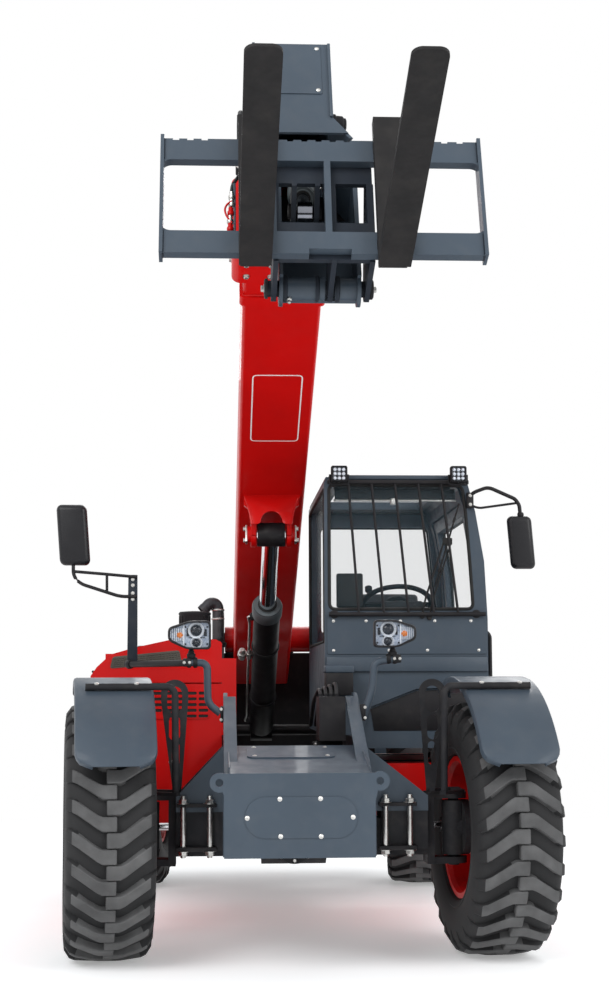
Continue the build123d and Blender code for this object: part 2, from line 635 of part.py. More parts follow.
# Tilt cylinder, from the head's cross pin to the coupler's lugs
tilt_shift = TILT_X - BOOM_X
tilt_foot = on_boom(*TILT_FOOT, tilt_shift)
tilt_eye = on_carriage(*TILT_EYE, TILT_X)
tilt_line = (tilt_eye - tilt_foot).normalized()
with BuildPart() as tilt_barrel:
    tilt_mouth = tilt_foot + tilt_line * TILT_BARREL_LENGTH
    bar(tilt_foot + tilt_line * 30, tilt_mouth, 52)
    bar(tilt_foot + Vector(-40, 0, 0), tilt_foot + Vector(40, 0, 0), 45)
    bar(tilt_foot + Vector(-41, 0, 0), tilt_foot + Vector(41, 0, 0), 22.5, Mode.SUBTRACT)
    bar(tilt_foot + tilt_line * 70, tilt_mouth - tilt_line * 40, 42, Mode.SUBTRACT)
    bar(tilt_mouth - tilt_line * 41, tilt_mouth + tilt_line, 25.5, Mode.SUBTRACT)
save(tilt_barrel, "tilt_cylinder_barrel")

TILT_PISTON = (195.0, 235.0)
with BuildPart() as tilt_rod:
    bar(tilt_foot + tilt_line * TILT_PISTON[0], tilt_eye - tilt_line * 20, 25)
    bar(tilt_foot + tilt_line * TILT_PISTON[0], tilt_foot + tilt_line * TILT_PISTON[1], 41)
    bar(tilt_eye + Vector(-28, 0, 0), tilt_eye + Vector(28, 0, 0), 38)
save(tilt_rod, "tilt_cylinder_rod")

# Engine pod: open-topped body with a fixed rear deck, a hinged hood and the engine inside
POD_WALL = 18.0
LID_GAP = 6.0
POD_ACROSS = (POD_OUTER_X - 10, POD_INNER_X + 10)
HINGE_X, HINGE_Z = -385.0, 1475.0
HOOD_HINGES = (920.0, 1580.0)
POD_OUTLINE = (
    (POD_INNER_X, 520), (POD_INNER_X, 1475), (-400, 1496), (-640, 1494), (-820, 1455), (-948, 1419),
    (-1018, 1354), (POD_OUTER_X, 1308), (POD_OUTER_X, 640), (-1000, 520),
)
POD_INNER = (
    (POD_INNER_X - POD_WALL, 532), (POD_INNER_X - POD_WALL, 1461), (-406, 1478), (-638, 1476), (-815, 1438),
    (-939, 1403), (-1003, 1344), (POD_OUTER_X + POD_WALL, 1300), (POD_OUTER_X + POD_WALL, 648), (-992, 532),
)
with BuildPart() as engine_pod:
    plate(facing(POD_REAR), POD_OUTLINE, POD_REAR - POD_FRONT)
    plate(facing(POD_REAR - POD_WALL), POD_INNER, POD_REAR - POD_FRONT - 2 * POD_WALL, Mode.SUBTRACT)
    block(POD_ACROSS, (POD_FRONT - 10, LID_REAR + LID_GAP), (POD_SPLIT, 1500), Mode.SUBTRACT)
    deck_front = LID_REAR + LID_GAP
    block((POD_OUTER_X + POD_WALL, POD_INNER_X - POD_WALL), (deck_front, deck_front + POD_WALL), (1000, 1440))
    block((POD_INNER_X, RAIL_RIGHT - RAIL_THICK), (900, 1000), (700, 800))
    block((POD_INNER_X, -295), (POD_FRONT, 1000), (1001, 1397))
    block((POD_INNER_X, RAIL_RIGHT - RAIL_THICK), (1900, 2000), (700, 800))
save(engine_pod, "engine_pod")

with BuildPart() as engine_hood:
    plate(facing(LID_REAR), POD_OUTLINE, LID_REAR - POD_FRONT)
    plate(facing(LID_REAR - POD_WALL), POD_INNER, LID_REAR - POD_FRONT - 2 * POD_WALL, Mode.SUBTRACT)
    block(POD_ACROSS, (POD_FRONT - 10, LID_REAR + 10), (400, POD_SPLIT + LID_GAP), Mode.SUBTRACT)
    for behind in HOOD_HINGES:
        bar(at(HINGE_X, behind - 45, HINGE_Z), at(HINGE_X, behind + 45, HINGE_Z), 14)
    with Locations(at(-515, 1100, 1545)):
        Cylinder(50, 130)
    with Locations(at(-515, 1100, 1600)):
        Cylinder(80, 100)
save(engine_hood, "engine_hood")

with BuildPart() as engine_block:
    block((-950, -450), (950, 1650), (560, 1180))
save(engine_block, "engine_block")

with BuildPart() as exhaust:
    tube((at(-389, 1900, 1498), at(-389, 1900, 1790), at(-472, 1880, 1700)), 33, 34)
save(exhaust, "exhaust")

# Side tank below the cab
with BuildPart() as side_tank:
    block((350, 950), (820, 2100), (500, 850))
    block((880, 960), (1250, 1700), (660, 860), Mode.SUBTRACT)
    for reach in (900, 2000):
        block((RAIL_LEFT + RAIL_THICK, 350), (reach - 50, reach + 50), (600, 760))
save(side_tank, "side_tank")

# Cab: platform, welded shell with openings, guard, glass, door and the driver's place
with BuildPart() as cab_base:
    block((RAIL_LEFT + RAIL_THICK, 1000), (770, CAB_REAR), (930, CAB_FLOOR))
    plate(facing(785), ((1000, 930), (1000, 1246), (642, 1231), (403, 1140), (355, 1000), (355, 930)), 15)
    for behind in (950, 2000):
        block((RAIL_LEFT + RAIL_THICK, 345), (behind - 50, behind + 50), (770, 930))
save(cab_base, "cab_base")

CAB_LEAN = (
    # height, outer x of the left wall
    (CAB_BELT, CAB_OUTER_X), (1900.0, 1006.0), (2166.0, 962.0), (2310.0, 924.0),
)
CAB_ROOF = 2355.0
CAB_OUTLINE = (
    (CAB_INNER_X, CAB_FLOOR), (CAB_OUTER_X, CAB_FLOOR), *((x, z) for z, x in CAB_LEAN),
    (885, CAB_ROOF), (195, CAB_ROOF), (CAB_INNER_X, 2318),
)
CAB_INSIDE = (
    (CAB_INNER_X + CAB_WALL, CAB_FLOOR + 30), (CAB_OUTER_X - CAB_WALL, CAB_FLOOR + 30),
    (CAB_OUTER_X - CAB_WALL, CAB_BELT - 5), (961, 1893), (918, 2154), (882, 2285), (860, 2308),
    (222, 2310), (CAB_INNER_X + CAB_WALL, 2295),
)
ARCH = ((1030, 990), (1030, 1250), (640, 1235), (400, 1143), (350, 990))
DOOR_SPAN = (900.0, 2060.0)
DOOR_SILL, DOOR_HEAD = 1075.0, 2225.0
DOOR_GAP = 6.0
DOOR_THICK = 38.0
REAR_HEAD = 2210.0
WINDOW_R = 30.0


def side_x(z, inset):
    """Outer x of the cab's left wall at a height, less an inset."""
    x = CAB_OUTER_X
    for (low, near), (high, far) in zip(CAB_LEAN, CAB_LEAN[1:]):
        if z > low:
            x = near + (far - near) * min(1.0, (z - low) / (high - low))
    return x - inset


def wall_band(low, high, near, far):
    """Outline of a strip of the left wall between two heights and two insets."""
    heights = [low] + [z for z, x in CAB_LEAN if low < z < high] + [high]
    return [(side_x(z, near), z) for z in heights] + [(side_x(z, far), z) for z in reversed(heights)]


with BuildPart() as cab_frame:
    plate(facing(CAB_REAR), CAB_OUTLINE, CAB_REAR - CAB_FRONT)
    plate(facing(CAB_REAR - CAB_WALL), CAB_INSIDE, CAB_REAR - CAB_FRONT - 2 * CAB_WALL, Mode.SUBTRACT)
    block((500, 1100), DOOR_SPAN, (DOOR_SILL, DOOR_HEAD), Mode.SUBTRACT)
    windscreen = ((190, 1650), (945, 1650), (930, 1900), (912, 2150), (895, 2300), (190, 2305))
    rear_window = ((230, 1560), (955, 1560), (890, REAR_HEAD), (230, REAR_HEAD))
    plate(facing(CAB_FRONT + 60), windscreen, 80, Mode.SUBTRACT, round_r=WINDOW_R)
    plate(facing(CAB_REAR + 20), rear_window, 80, Mode.SUBTRACT, round_r=WINDOW_R)
    block((150, 250), (790, 2120), (1480, 2290), Mode.SUBTRACT)
    block((260, 820), (870, 2050), (2300, 2400), Mode.SUBTRACT)
    plate(facing(CAB_FRONT + CAB_WALL + 5), ARCH, 60, Mode.SUBTRACT)
save(cab_frame, "cab_frame")

GLASS = 6.0
with BuildPart() as cab_glass:
    screen = ((194, 1654), (941, 1654), (926, 1900), (908, 2149), (892, 2296), (194, 2301))
    plate(facing(CAB_FRONT + 28), screen, GLASS, round_r=28)
    rear_pane = ((234, 1564), (950, 1564), (886, REAR_HEAD - 6), (234, REAR_HEAD - 4))
    plate(facing(CAB_REAR - 22), rear_pane, GLASS, round_r=28)
    block((185, 185 + GLASS), (793, 2117), (1483, 2287))
    block((263, 817), (873, 2047), (2324, 2324 + GLASS))
save(cab_glass, "cab_glass")

with BuildPart() as cab_guard:
    guard_face = CAB_FRONT - 25
    for left, right, z in ((185, 1005, 1622), (180, 925, 2315)):
        bar(at(left, guard_face, z), at(right, guard_face, z), 11)
    for foot, top in ((342, 290), (473, 412), (602, 535), (735, 658), (862, 780)):
        bar(at(foot, guard_face, 1622), at(top, guard_face, 2315), 7)
    for x, z in ((215, 1622), (960, 1622), (215, 2315), (860, 2315)):
        bar(at(x, guard_face, z), at(x, CAB_FRONT, z), 9)
save(cab_guard, "cab_guard")

with BuildPart() as cab_door:
    door_front, door_rear = DOOR_SPAN[0] + DOOR_GAP, DOOR_SPAN[1] - DOOR_GAP
    sill, head = DOOR_SILL + DOOR_GAP, DOOR_HEAD - DOOR_GAP
    plate(facing(door_rear), wall_band(sill, head, 0, DOOR_THICK), door_rear - door_front)
    block((800, 1100), (door_front + 70, door_rear - 70), (CAB_BELT + 40, head - 60), Mode.SUBTRACT)
    block((800, 1100), (door_front + 70, door_rear - 70), (sill + 70, CAB_BELT - 40), Mode.SUBTRACT)
    for z in (1200, 1500):
        bar(at(CAB_OUTER_X + 14, door_rear, z - 40), at(CAB_OUTER_X + 14, door_rear, z + 40), 13)
        block((CAB_OUTER_X - 5, CAB_OUTER_X + 14), (door_rear - 60, door_rear), (z - 20, z + 20))
save(cab_door, "cab_door")

with BuildPart() as door_glass:
    upper = (CAB_BELT + 44, head - 64)
    pane = (16, 16 + GLASS)
    plate(facing(door_rear - 74), wall_band(*upper, *pane), door_rear - door_front - 148)
    lower = (sill + 74, CAB_BELT - 44)
    block((CAB_OUTER_X - pane[1], CAB_OUTER_X - pane[0]), (door_front + 74, door_rear - 74), lower)
save(door_glass, "door_glass")

SEAT_X = 590.0
SEAT_BEHIND = 1750.0
with BuildPart() as seat_base:
    block((SEAT_X - 180, SEAT_X + 180), (SEAT_BEHIND - 220, SEAT_BEHIND + 200), (CAB_FLOOR + 30, 1330))
    block((SEAT_X - 40, SEAT_X + 40), (SEAT_BEHIND + 200, SEAT_BEHIND + 230), (1250, 1500))
save(seat_base, "seat_base")

with BuildPart() as seat_cushion:
    block((SEAT_X - 230, SEAT_X + 230), (SEAT_BEHIND - 280, SEAT_BEHIND + 170), (1331, 1440))
save(seat_cushion, "seat_cushion")

with BuildPart() as seat_back:
    lean = (
        (SEAT_BEHIND + 172, 1400), (SEAT_BEHIND + 290, 1400),
        (SEAT_BEHIND + 331, 1800), (SEAT_BEHIND + 226, 1800),
    )
    plate(side(SEAT_X - 220), lean, 440)
    block((SEAT_X - 100, SEAT_X + 100), (SEAT_BEHIND + 150, SEAT_BEHIND + 235), (1200, 1502), Mode.SUBTRACT)
save(seat_back, "seat_back")

with BuildPart() as driving_controls:
    block((300, 900), (CAB_FRONT + 50, CAB_FRONT + 200), (CAB_FLOOR + 30, 1600))
    wheel_axis = Vector(0, 0.5, 0.866)
    wheel_centre = Vector(*at(SEAT_X, 1200, 1690))
    bar(Vector(*at(SEAT_X, 960, 1275)), wheel_centre, 28)
    with BuildSketch(Plane(origin=wheel_centre, x_dir=(1, 0, 0), z_dir=wheel_axis)) as spokes:
        Rectangle(350, 34)
        Circle(45)
    extrude(spokes.sketch, amount=12)
    grip = Plane(origin=wheel_centre + Vector(190, 0, 0), x_dir=(1, 0, 0), z_dir=(0, -1, 0))
    with BuildSketch(grip) as hoop:
        Circle(15)
    revolve(hoop.sketch, axis=Axis(wheel_centre, wheel_axis))
save(driving_controls, "driving_controls")

# Lights: two on bent tubes beside the nose and two on the cab's roof
LAMPS = (
    # housing x, housing z, tube points (x, z) below the housing
    ((-631, -425), (1430, 1565), ((-528, 1367), (-443, 1364), (-439, 1170), (-380, 1124))),
    ((356, 568), (1437, 1568), ((462, 1378), (362, 1366), (350, 1232), (314, 1127))),
)
LAMP_TUBE_R = 19.0
WORK_LAMP = 86.0
with BuildPart() as lights:
    for x, z, route in LAMPS:
        block(x, (60, 140), z)
        block((sum(x) / 2 - 20, sum(x) / 2 + 20), (95, 125), (z[0] - 40, z[0] + 5))
        top = (sum(x) / 2, z[0] - 15)
        tube([at(px, 110, pz) for px, pz in (top,) + route], LAMP_TUBE_R, 24)
        rail = RAIL_RIGHT - RAIL_THICK if x[0] < 0 else RAIL_LEFT + RAIL_THICK
        end_x, end_z = route[-1]
        block(sorted((end_x * 0.98, rail)), (85, 135), (end_z - 45, end_z + 35))
    for x in (196, 821):
        block((x, x + WORK_LAMP), (CAB_FRONT - 100, CAB_FRONT - 38), (2308, 2308 + WORK_LAMP))
        block((x + 10, x + 40), (CAB_FRONT - 39, CAB_FRONT), (2335, 2345))
save(lights, "lights")

# Mirrors on tubular arms
MIRROR_BEHIND = 500.0
with BuildPart() as mirrors:
    post = ((-820, 1362), (-820, 1817), (-1112, 1845), (-1120, 1880))
    tube([at(x, MIRROR_BEHIND, z) for x, z in post], 12, 9)
    bar(at(-835, MIRROR_BEHIND, 1363), at(-548, 170, 1368), 15)
    block((-1206, -1036), (MIRROR_BEHIND - 35, MIRROR_BEHIND + 35), (1860, 2168))
    arm = ((925, 738, 2240), (982, 720, 2270), (1090, 700, 2276), (1187, 700, 2215), (1190, 700, 2120))
    tube([at(*point) for point in arm], 11, 25)
    block((905, 940), (725, CAB_FRONT), (2222, 2256))
    block((1122, 1265), (665, 735), (1856, 2135))
save(mirrors, "mirrors")

# Counterweight and tow hitch at the tail
with BuildPart() as counterweight:
    weight = ((-850, 3750), (850, 3750), (850, 3950), (700, TAIL), (-700, TAIL), (-850, 3950))
    plate(level(620), weight, 500)
    block((RAIL_RIGHT - RAIL_THICK, RAIL_LEFT + RAIL_THICK), (3700, 3751), (620, 1100))
    block((-120, 120), (3900, TAIL + 20), (540, 1130), Mode.SUBTRACT)
    block((-60, 60), (3850, TAIL), (560, 580))
    block((-60, 60), (3850, TAIL), (640, 660))
    block((-120, 120), (3850, 3900), (540, 720))
    bar(at(0, TAIL - 50, 500), at(0, TAIL - 50, 680), 16, Mode.SUBTRACT)
save(counterweight, "counterweight")
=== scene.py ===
"""Looks of the telehandler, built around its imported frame.

Metres throughout. The machine faces -Y, stands on Z = 0 and its left side, with the cab, is +X.
"""
import json
import logging
import math
from collections.abc import Callable, Iterator, Sequence
from contextlib import contextmanager
from dataclasses import dataclass
from enum import Enum

import bmesh
import bpy
from mathutils import Matrix, Vector


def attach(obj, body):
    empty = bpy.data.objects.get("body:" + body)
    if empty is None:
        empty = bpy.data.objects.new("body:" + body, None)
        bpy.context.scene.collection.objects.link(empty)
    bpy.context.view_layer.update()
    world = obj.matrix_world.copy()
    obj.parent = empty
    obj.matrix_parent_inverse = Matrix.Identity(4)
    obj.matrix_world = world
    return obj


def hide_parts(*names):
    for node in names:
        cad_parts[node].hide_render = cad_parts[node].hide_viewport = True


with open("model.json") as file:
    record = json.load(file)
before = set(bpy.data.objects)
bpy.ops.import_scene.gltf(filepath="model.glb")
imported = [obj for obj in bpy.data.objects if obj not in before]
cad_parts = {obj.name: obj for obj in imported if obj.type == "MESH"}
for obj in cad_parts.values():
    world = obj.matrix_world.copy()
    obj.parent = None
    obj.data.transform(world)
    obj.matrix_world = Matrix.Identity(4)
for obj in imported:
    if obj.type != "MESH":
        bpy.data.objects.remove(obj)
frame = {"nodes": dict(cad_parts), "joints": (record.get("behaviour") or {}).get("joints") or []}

LOG = logging.getLogger("telehandler")
JOINTS = {joint["name"]: joint for joint in frame["joints"]}
MILLI = 0.001

Piece = bpy.types.Object
Tree = bpy.types.NodeTree
Node = bpy.types.Node
Socket = bpy.types.NodeSocket
Point = Sequence[float]
Outline = Sequence[tuple[float, float]]
Test = Callable[[Vector, Vector], bool]


# ---------------------------------------------------------------- modelling tools
def focus(*pieces: Piece) -> None:
    """Leaves only these pieces selected, the first one active."""
    bpy.ops.object.select_all(action="DESELECT")
    for piece in pieces:
        piece.select_set(True)
    bpy.context.view_layer.objects.active = pieces[0]


@contextmanager
def editing(piece: Piece) -> Iterator[None]:
    """Opens a piece in edit mode with nothing selected.

    Args:
        piece: The piece to work on.
    """
    focus(piece)
    bpy.ops.object.mode_set(mode="EDIT")
    bpy.ops.mesh.select_all(action="DESELECT")
    yield
    bpy.ops.object.mode_set(mode="OBJECT")


def pick_faces(test: Test) -> None:
    """In edit mode, selects only the faces whose middle and normal pass a test."""
    bpy.ops.mesh.select_mode(type="FACE")
    mesh = bmesh.from_edit_mesh(bpy.context.edit_object.data)
    for face in mesh.faces:
        face.select_set(test(face.calc_center_median(), face.normal))
    bmesh.update_edit_mesh(bpy.context.edit_object.data)


def pick_points(test: Callable[[Vector], bool]) -> None:
    """In edit mode, selects only the points whose place passes a test."""
    bpy.ops.mesh.select_mode(type="VERT")
    mesh = bmesh.from_edit_mesh(bpy.context.edit_object.data)
    for corner in mesh.verts:
        corner.select_set(test(corner.co))
    bmesh.update_edit_mesh(bpy.context.edit_object.data)


def pull(shift: Point) -> None:
    """In edit mode, extrudes what is selected by a shift."""
    bpy.ops.mesh.extrude_region_move(TRANSFORM_OT_translate={"value": Vector(shift)})


def settle(piece: Piece) -> Piece:
    """Puts a piece's place, turn and scale into its mesh."""
    focus(piece)
    bpy.ops.object.transform_apply(location=True, rotation=True, scale=True)
    return piece


def soften(piece: Piece, width: float, segments: int = 2, angle: float = 30) -> Piece:
    """Rounds a piece's sharp edges.

    Args:
        piece: The piece to round.
        width: Width of the rounding.
        segments: Faces across each rounding.
        angle: Smallest angle of an edge that is rounded, in degrees.

    Returns:
        The same piece.
    """
    focus(piece)
    modifier = piece.modifiers.new("edges", "BEVEL")
    modifier.width = width
    modifier.segments = segments
    modifier.limit_method = "ANGLE"
    modifier.angle_limit = math.radians(angle)
    bpy.ops.object.modifier_apply(modifier=modifier.name)
    return piece


def thicken(piece: Piece, thickness: float, offset: float = -1) -> Piece:
    """Gives a sheet its thickness, behind its faces unless offset says otherwise."""
    focus(piece)
    modifier = piece.modifiers.new("wall", "SOLIDIFY")
    modifier.thickness = thickness
    modifier.offset = offset
    modifier.use_even_offset = True
    bpy.ops.object.modifier_apply(modifier=modifier.name)
    return piece


def block(low: Point, high: Point, edge: float = 0.0, segments: int = 2) -> Piece:
    """Box between two corners, with rounded edges.

    Args:
        low: Lowest corner.
        high: Highest corner.
        edge: Width of the edges' rounding, or 0 for none.
        segments: Faces across the rounding.

    Returns:
        The new piece.
    """
    low, high = Vector(low), Vector(high)
    bpy.ops.mesh.primitive_cube_add(size=1, location=(low + high) / 2, scale=high - low)
    piece = settle(bpy.context.object)
    return soften(piece, edge, segments) if edge else piece


def rod(start: Point, end: Point, radius: float, sides: int = 24, edge: float = 0.0) -> Piece:
    """Round bar between two points, with rounded rims."""
    start, end = Vector(start), Vector(end)
    line = end - start
    bpy.ops.mesh.primitive_cylinder_add(
        vertices=sides, radius=radius, depth=line.length, location=(start + end) / 2,
        rotation=line.to_track_quat("Z", "Y").to_euler()
    )
    piece = settle(bpy.context.object)
    return soften(piece, edge, 2, 50) if edge else piece


def trace(points: Sequence[Point], closed: bool = False) -> Piece:
    """Line of edges through some points, made by pulling one point on to the next.

    Args:
        points: The points, in order.
        closed: Fills the outline with a face.

    Returns:
        The new piece.
    """
    places = [Vector(point) for point in points]
    bpy.ops.object.select_all(action="DESELECT")
    bpy.ops.mesh.primitive_plane_add(size=MILLI, location=places[0])
    piece = settle(bpy.context.object)
    with editing(piece):
        bpy.ops.mesh.select_mode(type="VERT")
        bpy.ops.mesh.select_all(action="SELECT")
        bpy.ops.mesh.merge(type="CENTER")
        for here, there in zip(places, places[1:]):
            pull(there - here)
        if closed:
            bpy.ops.mesh.select_all(action="SELECT")
            bpy.ops.mesh.edge_face_add()
    return piece


def mend(piece: Piece, reach: float = 1e-5) -> Piece:
    """Merges a piece's doubled points and turns its faces outwards."""
    with editing(piece):
        bpy.ops.mesh.select_all(action="SELECT")
        bpy.ops.mesh.remove_doubles(threshold=reach)
        bpy.ops.mesh.dissolve_degenerate(threshold=reach)
        bpy.ops.mesh.select_all(action="SELECT")
        bpy.ops.mesh.normals_make_consistent(inside=False)
    return piece


def plate(points: Sequence[Point], push: Point, edge: float = 0.0, segments: int = 2) -> Piece:
    """Flat outline pushed out to a thickness.

    Args:
        points: The outline's corners.
        push: Direction and length of the push.
        edge: Width of the edges' rounding, or 0 for none.
        segments: Faces across the rounding.

    Returns:
        The new piece.
    """
    piece = trace(points, closed=True)
    with editing(piece):
        bpy.ops.mesh.select_all(action="SELECT")
        pull(push)
    mend(piece)
    return soften(piece, edge, segments) if edge else piece


def lathe(profile: Sequence[Point], centre: Point, axis: Point, steps: int = 48, sweep: float = 360.0,
          start: Point = (0, 0, 1)) -> Piece:
    """Shape spun from a profile.

    Args:
        profile: Points given as (distance along the axis, radius).
        centre: Point on the axis from which distances are counted.
        axis: Direction of the axis.
        steps: Faces round the shape.
        sweep: Angle of the spin, in degrees.
        start: Direction in which the profile is drawn, square to the axis.

    Returns:
        The new piece.
    """
    centre, axis, side = Vector(centre), Vector(axis).normalized(), Vector(start).normalized()
    if abs(axis.dot(side)) > 0.99:
        side = axis.orthogonal().normalized()
    side = (side - axis * axis.dot(side)).normalized()
    piece = trace([centre + axis * along + side * radius for along, radius in profile])
    with editing(piece):
        bpy.ops.mesh.select_all(action="SELECT")
        bpy.ops.mesh.spin(steps=steps, angle=math.radians(sweep), center=centre, axis=-axis)
    return mend(piece)


def pipe(points: Sequence[Point], radius: float, bend: float = 0.0, sides: int = 3) -> Piece:
    """Round tube through some points, its corners rounded.

    Args:
        points: Points of the tube's middle line.
        radius: Radius of the tube.
        bend: How far from a corner its rounding starts, or 0 for none.
        sides: Detail round the tube, as a curve's bevel resolution.

    Returns:
        The new piece.
    """
    piece = trace(points)
    if bend:
        tips = (Vector(points[0]), Vector(points[-1]))
        with editing(piece):
            pick_points(lambda place: not any((place - tip).length < 1e-5 for tip in tips))
            bpy.ops.mesh.bevel(offset=bend, offset_type="OFFSET", segments=5, affect="VERTICES")
    focus(piece)
    bpy.ops.object.convert(target="CURVE")
    line = bpy.context.object
    line.data.bevel_depth = radius
    line.data.bevel_resolution = sides
    line.data.use_fill_caps = True
    bpy.ops.object.convert(target="MESH")
    return mend(settle(bpy.context.object))


def copies(piece: Piece, turns: Sequence[Matrix]) -> list[Piece]:
    """Copies a piece to other places, each copy with its own mesh."""
    made = []
    for turn in turns:
        twin = piece.copy()
        twin.data = piece.data.copy()
        bpy.context.scene.collection.objects.link(twin)
        twin.data.transform(turn)
        made.append(twin)
    return made


def join(pieces: Sequence[Piece]) -> Piece:
    """Joins pieces into one."""
    focus(*pieces)
    if len(pieces) > 1:
        bpy.ops.object.join()
    return pieces[0]


def scrap(piece: Piece) -> None:
    """Removes a pattern piece that has been copied."""
    bpy.data.objects.remove(piece)


def place(piece: Piece, turn: Matrix) -> Piece:
    """Moves a piece's mesh, and turns its faces back out after a mirrored move."""
    piece.data.transform(turn)
    return mend(piece) if turn.determinant() < 0 else piece


def pierce(piece: Piece, cutter: Piece) -> Piece:
    """Cuts one piece's shape out of another."""
    focus(piece)
    modifier = piece.modifiers.new("cut", "BOOLEAN")
    modifier.operation = "DIFFERENCE"
    modifier.object = cutter
    modifier.solver = "EXACT"
    bpy.ops.object.modifier_apply(modifier=modifier.name)
    scrap(cutter)
    return piece


def looking(place_at: Point, normal: Point, up: Point = (0, 0, 1)) -> Matrix:
    """Matrix that sets a piece drawn about the origin, facing +Z, at a place and facing a normal."""
    outwards = Vector(normal).normalized()
    side = Vector(up).cross(outwards)
    side = side.normalized() if side.length > MILLI else outwards.orthogonal().normalized()
    turned = Matrix((side, outwards.cross(side), outwards)).transposed().to_4x4()
    return Matrix.Translation(Vector(place_at)) @ turned


@dataclass(frozen=True)
class Slant:
    """Axes of a raised arm: x across, along the arm and up from it."""

    origin: Vector
    forward: Vector

    @property
    def up(self) -> Vector:
        """Direction square to the arm, upwards."""
        return Vector((0, self.forward.z, -self.forward.y))

    def at(self, x: float, along: float, up: float) -> Vector:
        """Point given across, along and above the arm."""
        return self.origin + Vector((x, 0, 0)) + self.forward * along + self.up * up

    def path(self, spots: Sequence[Point]) -> list[Vector]:
        """Points given across, along and above the arm."""
        return [self.at(*spot) for spot in spots]

    def block(self, x: Point, along: Point, up: Point, edge: float = 0.0, segments: int = 2) -> Piece:
        """Box between limits across, along and above the arm."""
        piece = block((x[0], along[0], up[0]), (x[1], along[1], up[1]), edge, segments)
        return mend(place(piece, self.matrix))

    @property
    def matrix(self) -> Matrix:
        """Matrix from the arm's (x, along, up) to the row's axes, mirrored because forwards is -Y."""
        turned = Matrix((Vector((1, 0, 0)), self.forward, self.up)).transposed().to_4x4()
        return Matrix.Translation(self.origin) @ turned


BOOM = Slant(Vector(JOINTS["boom_lift"]["pos_m"]), Vector(JOINTS["boom_extend"]["axis"]))
CARRIAGE_RISE = math.radians(18.9)
CARRIAGE = Slant(
    Vector(JOINTS["carriage_tilt"]["pos_m"]), Vector((0, -math.cos(CARRIAGE_RISE), math.sin(CARRIAGE_RISE)))
)


# ---------------------------------------------------------------- finishes
class Slot(str, Enum):
    """Material slots of the record."""

    RED = "red_paint"
    GREY = "grey_paint"
    BLACK = "black_paint"
    FORK = "forged_steel"
    TYRE = "tyre"
    CHROME = "chrome"
    IRON = "cast_iron"
    PIPE = "steel_pipe"
    GLASS = "glass"
    PLASTIC = "black_plastic"
    FABRIC = "seat_fabric"


@dataclass(frozen=True)
class Finish:
    """Base of the finishes: one shader with a colour that varies and a fine relief."""

    name: str
    slot: Slot
    colour: Point
    second: Point
    roughness: float
    metallic: float = 0.0
    blotch: float = 3.0
    grain: float = 250.0
    relief: float = 0.05
    coat: float = 0.0
    dust: float = 0.0
    specular: float = 0.35

    def build(self) -> bpy.types.Material:
        """Makes the material.

        Returns:
            A node material on Object coordinates.
        """
        material = bpy.data.materials.new(self.name)
        material.use_nodes = True
        tree = material.node_tree
        shader = tree.nodes["Principled BSDF"]
        shader.inputs["Metallic"].default_value = self.metallic
        shader.inputs["Specular IOR Level"].default_value = self.specular
        shader.inputs["Coat Weight"].default_value = self.coat
        shader.inputs["Coat Roughness"].default_value = 0.08
        coords = tree.nodes.new("ShaderNodeTexCoord").outputs["Object"]
        self.paint(tree, shader, coords)
        self.texture(tree, shader, coords)
        return material

    def paint(self, tree: Tree, shader: Node, coords: Socket) -> None:
        """Colour and gloss: two tones in soft blotches, with dust where the finish gathers it."""
        blotches = noise(tree, coords, self.blotch, 4)
        colour = blend_colours(tree, ramp(tree, blotches, 0.35, 0.68), self.colour, self.second)
        if self.dust:
            specks = ramp(tree, noise(tree, coords, 14, 6), 0.48, 0.8, 0, self.dust)
            colour = blend_colours(tree, specks, colour, DUST)
        tree.links.new(colour, shader.inputs["Base Color"])
        gloss = ramp(tree, noise(tree, coords, self.blotch * 4, 5), 0.3, 0.75, self.roughness,
                     self.roughness * 1.35)
        tree.links.new(gloss, shader.inputs["Roughness"])

    def texture(self, tree: Tree, shader: Node, coords: Socket) -> None:
        """Relief: a fine grain over the whole surface."""
        bump(tree, shader, noise(tree, coords, self.grain, 3), self.relief)


DUST = (0.3, 0.27, 0.23)


def noise(tree: Tree, coords: Socket, scale: float, detail: float) -> Socket:
    """Cloudy pattern from 0 to 1."""
    node = tree.nodes.new("ShaderNodeTexNoise")
    node.inputs["Scale"].default_value = scale
    node.inputs["Detail"].default_value = detail
    tree.links.new(coords, node.inputs["Vector"])
    return node.outputs["Fac"]


def ramp(tree: Tree, value: Socket, low: float, high: float, out_low: float = 0,
         out_high: float = 1) -> Socket:
    """Stretches a value from one range to another, clamped."""
    node = tree.nodes.new("ShaderNodeMapRange")
    for socket, number in zip(("From Min", "From Max", "To Min", "To Max"), (low, high, out_low, out_high)):
        node.inputs[socket].default_value = number
    tree.links.new(value, node.inputs["Value"])
    return node.outputs["Result"]


def blend_colours(tree: Tree, share: Socket, first: Point | Socket, second: Point) -> Socket:
    """Mixes a colour, or a colour socket, with a second colour by a share."""
    node = tree.nodes.new("ShaderNodeMix")
    node.data_type = "RGBA"
    tree.links.new(share, node.inputs["Factor"])
    if isinstance(first, Socket):
        tree.links.new(first, node.inputs[6])
    else:
        node.inputs[6].default_value = (*first, 1)
    node.inputs[7].default_value = (*second, 1)
    return node.outputs[2]


def bump(tree: Tree, shader: Node, height: Socket, strength: float) -> None:
    """Adds a relief to a shader."""
    node = tree.nodes.new("ShaderNodeBump")
    node.inputs["Strength"].default_value = strength
    node.inputs["Distance"].default_value = 0.002
    tree.links.new(height, node.inputs["Height"])
    tree.links.new(node.outputs["Normal"], shader.inputs["Normal"])


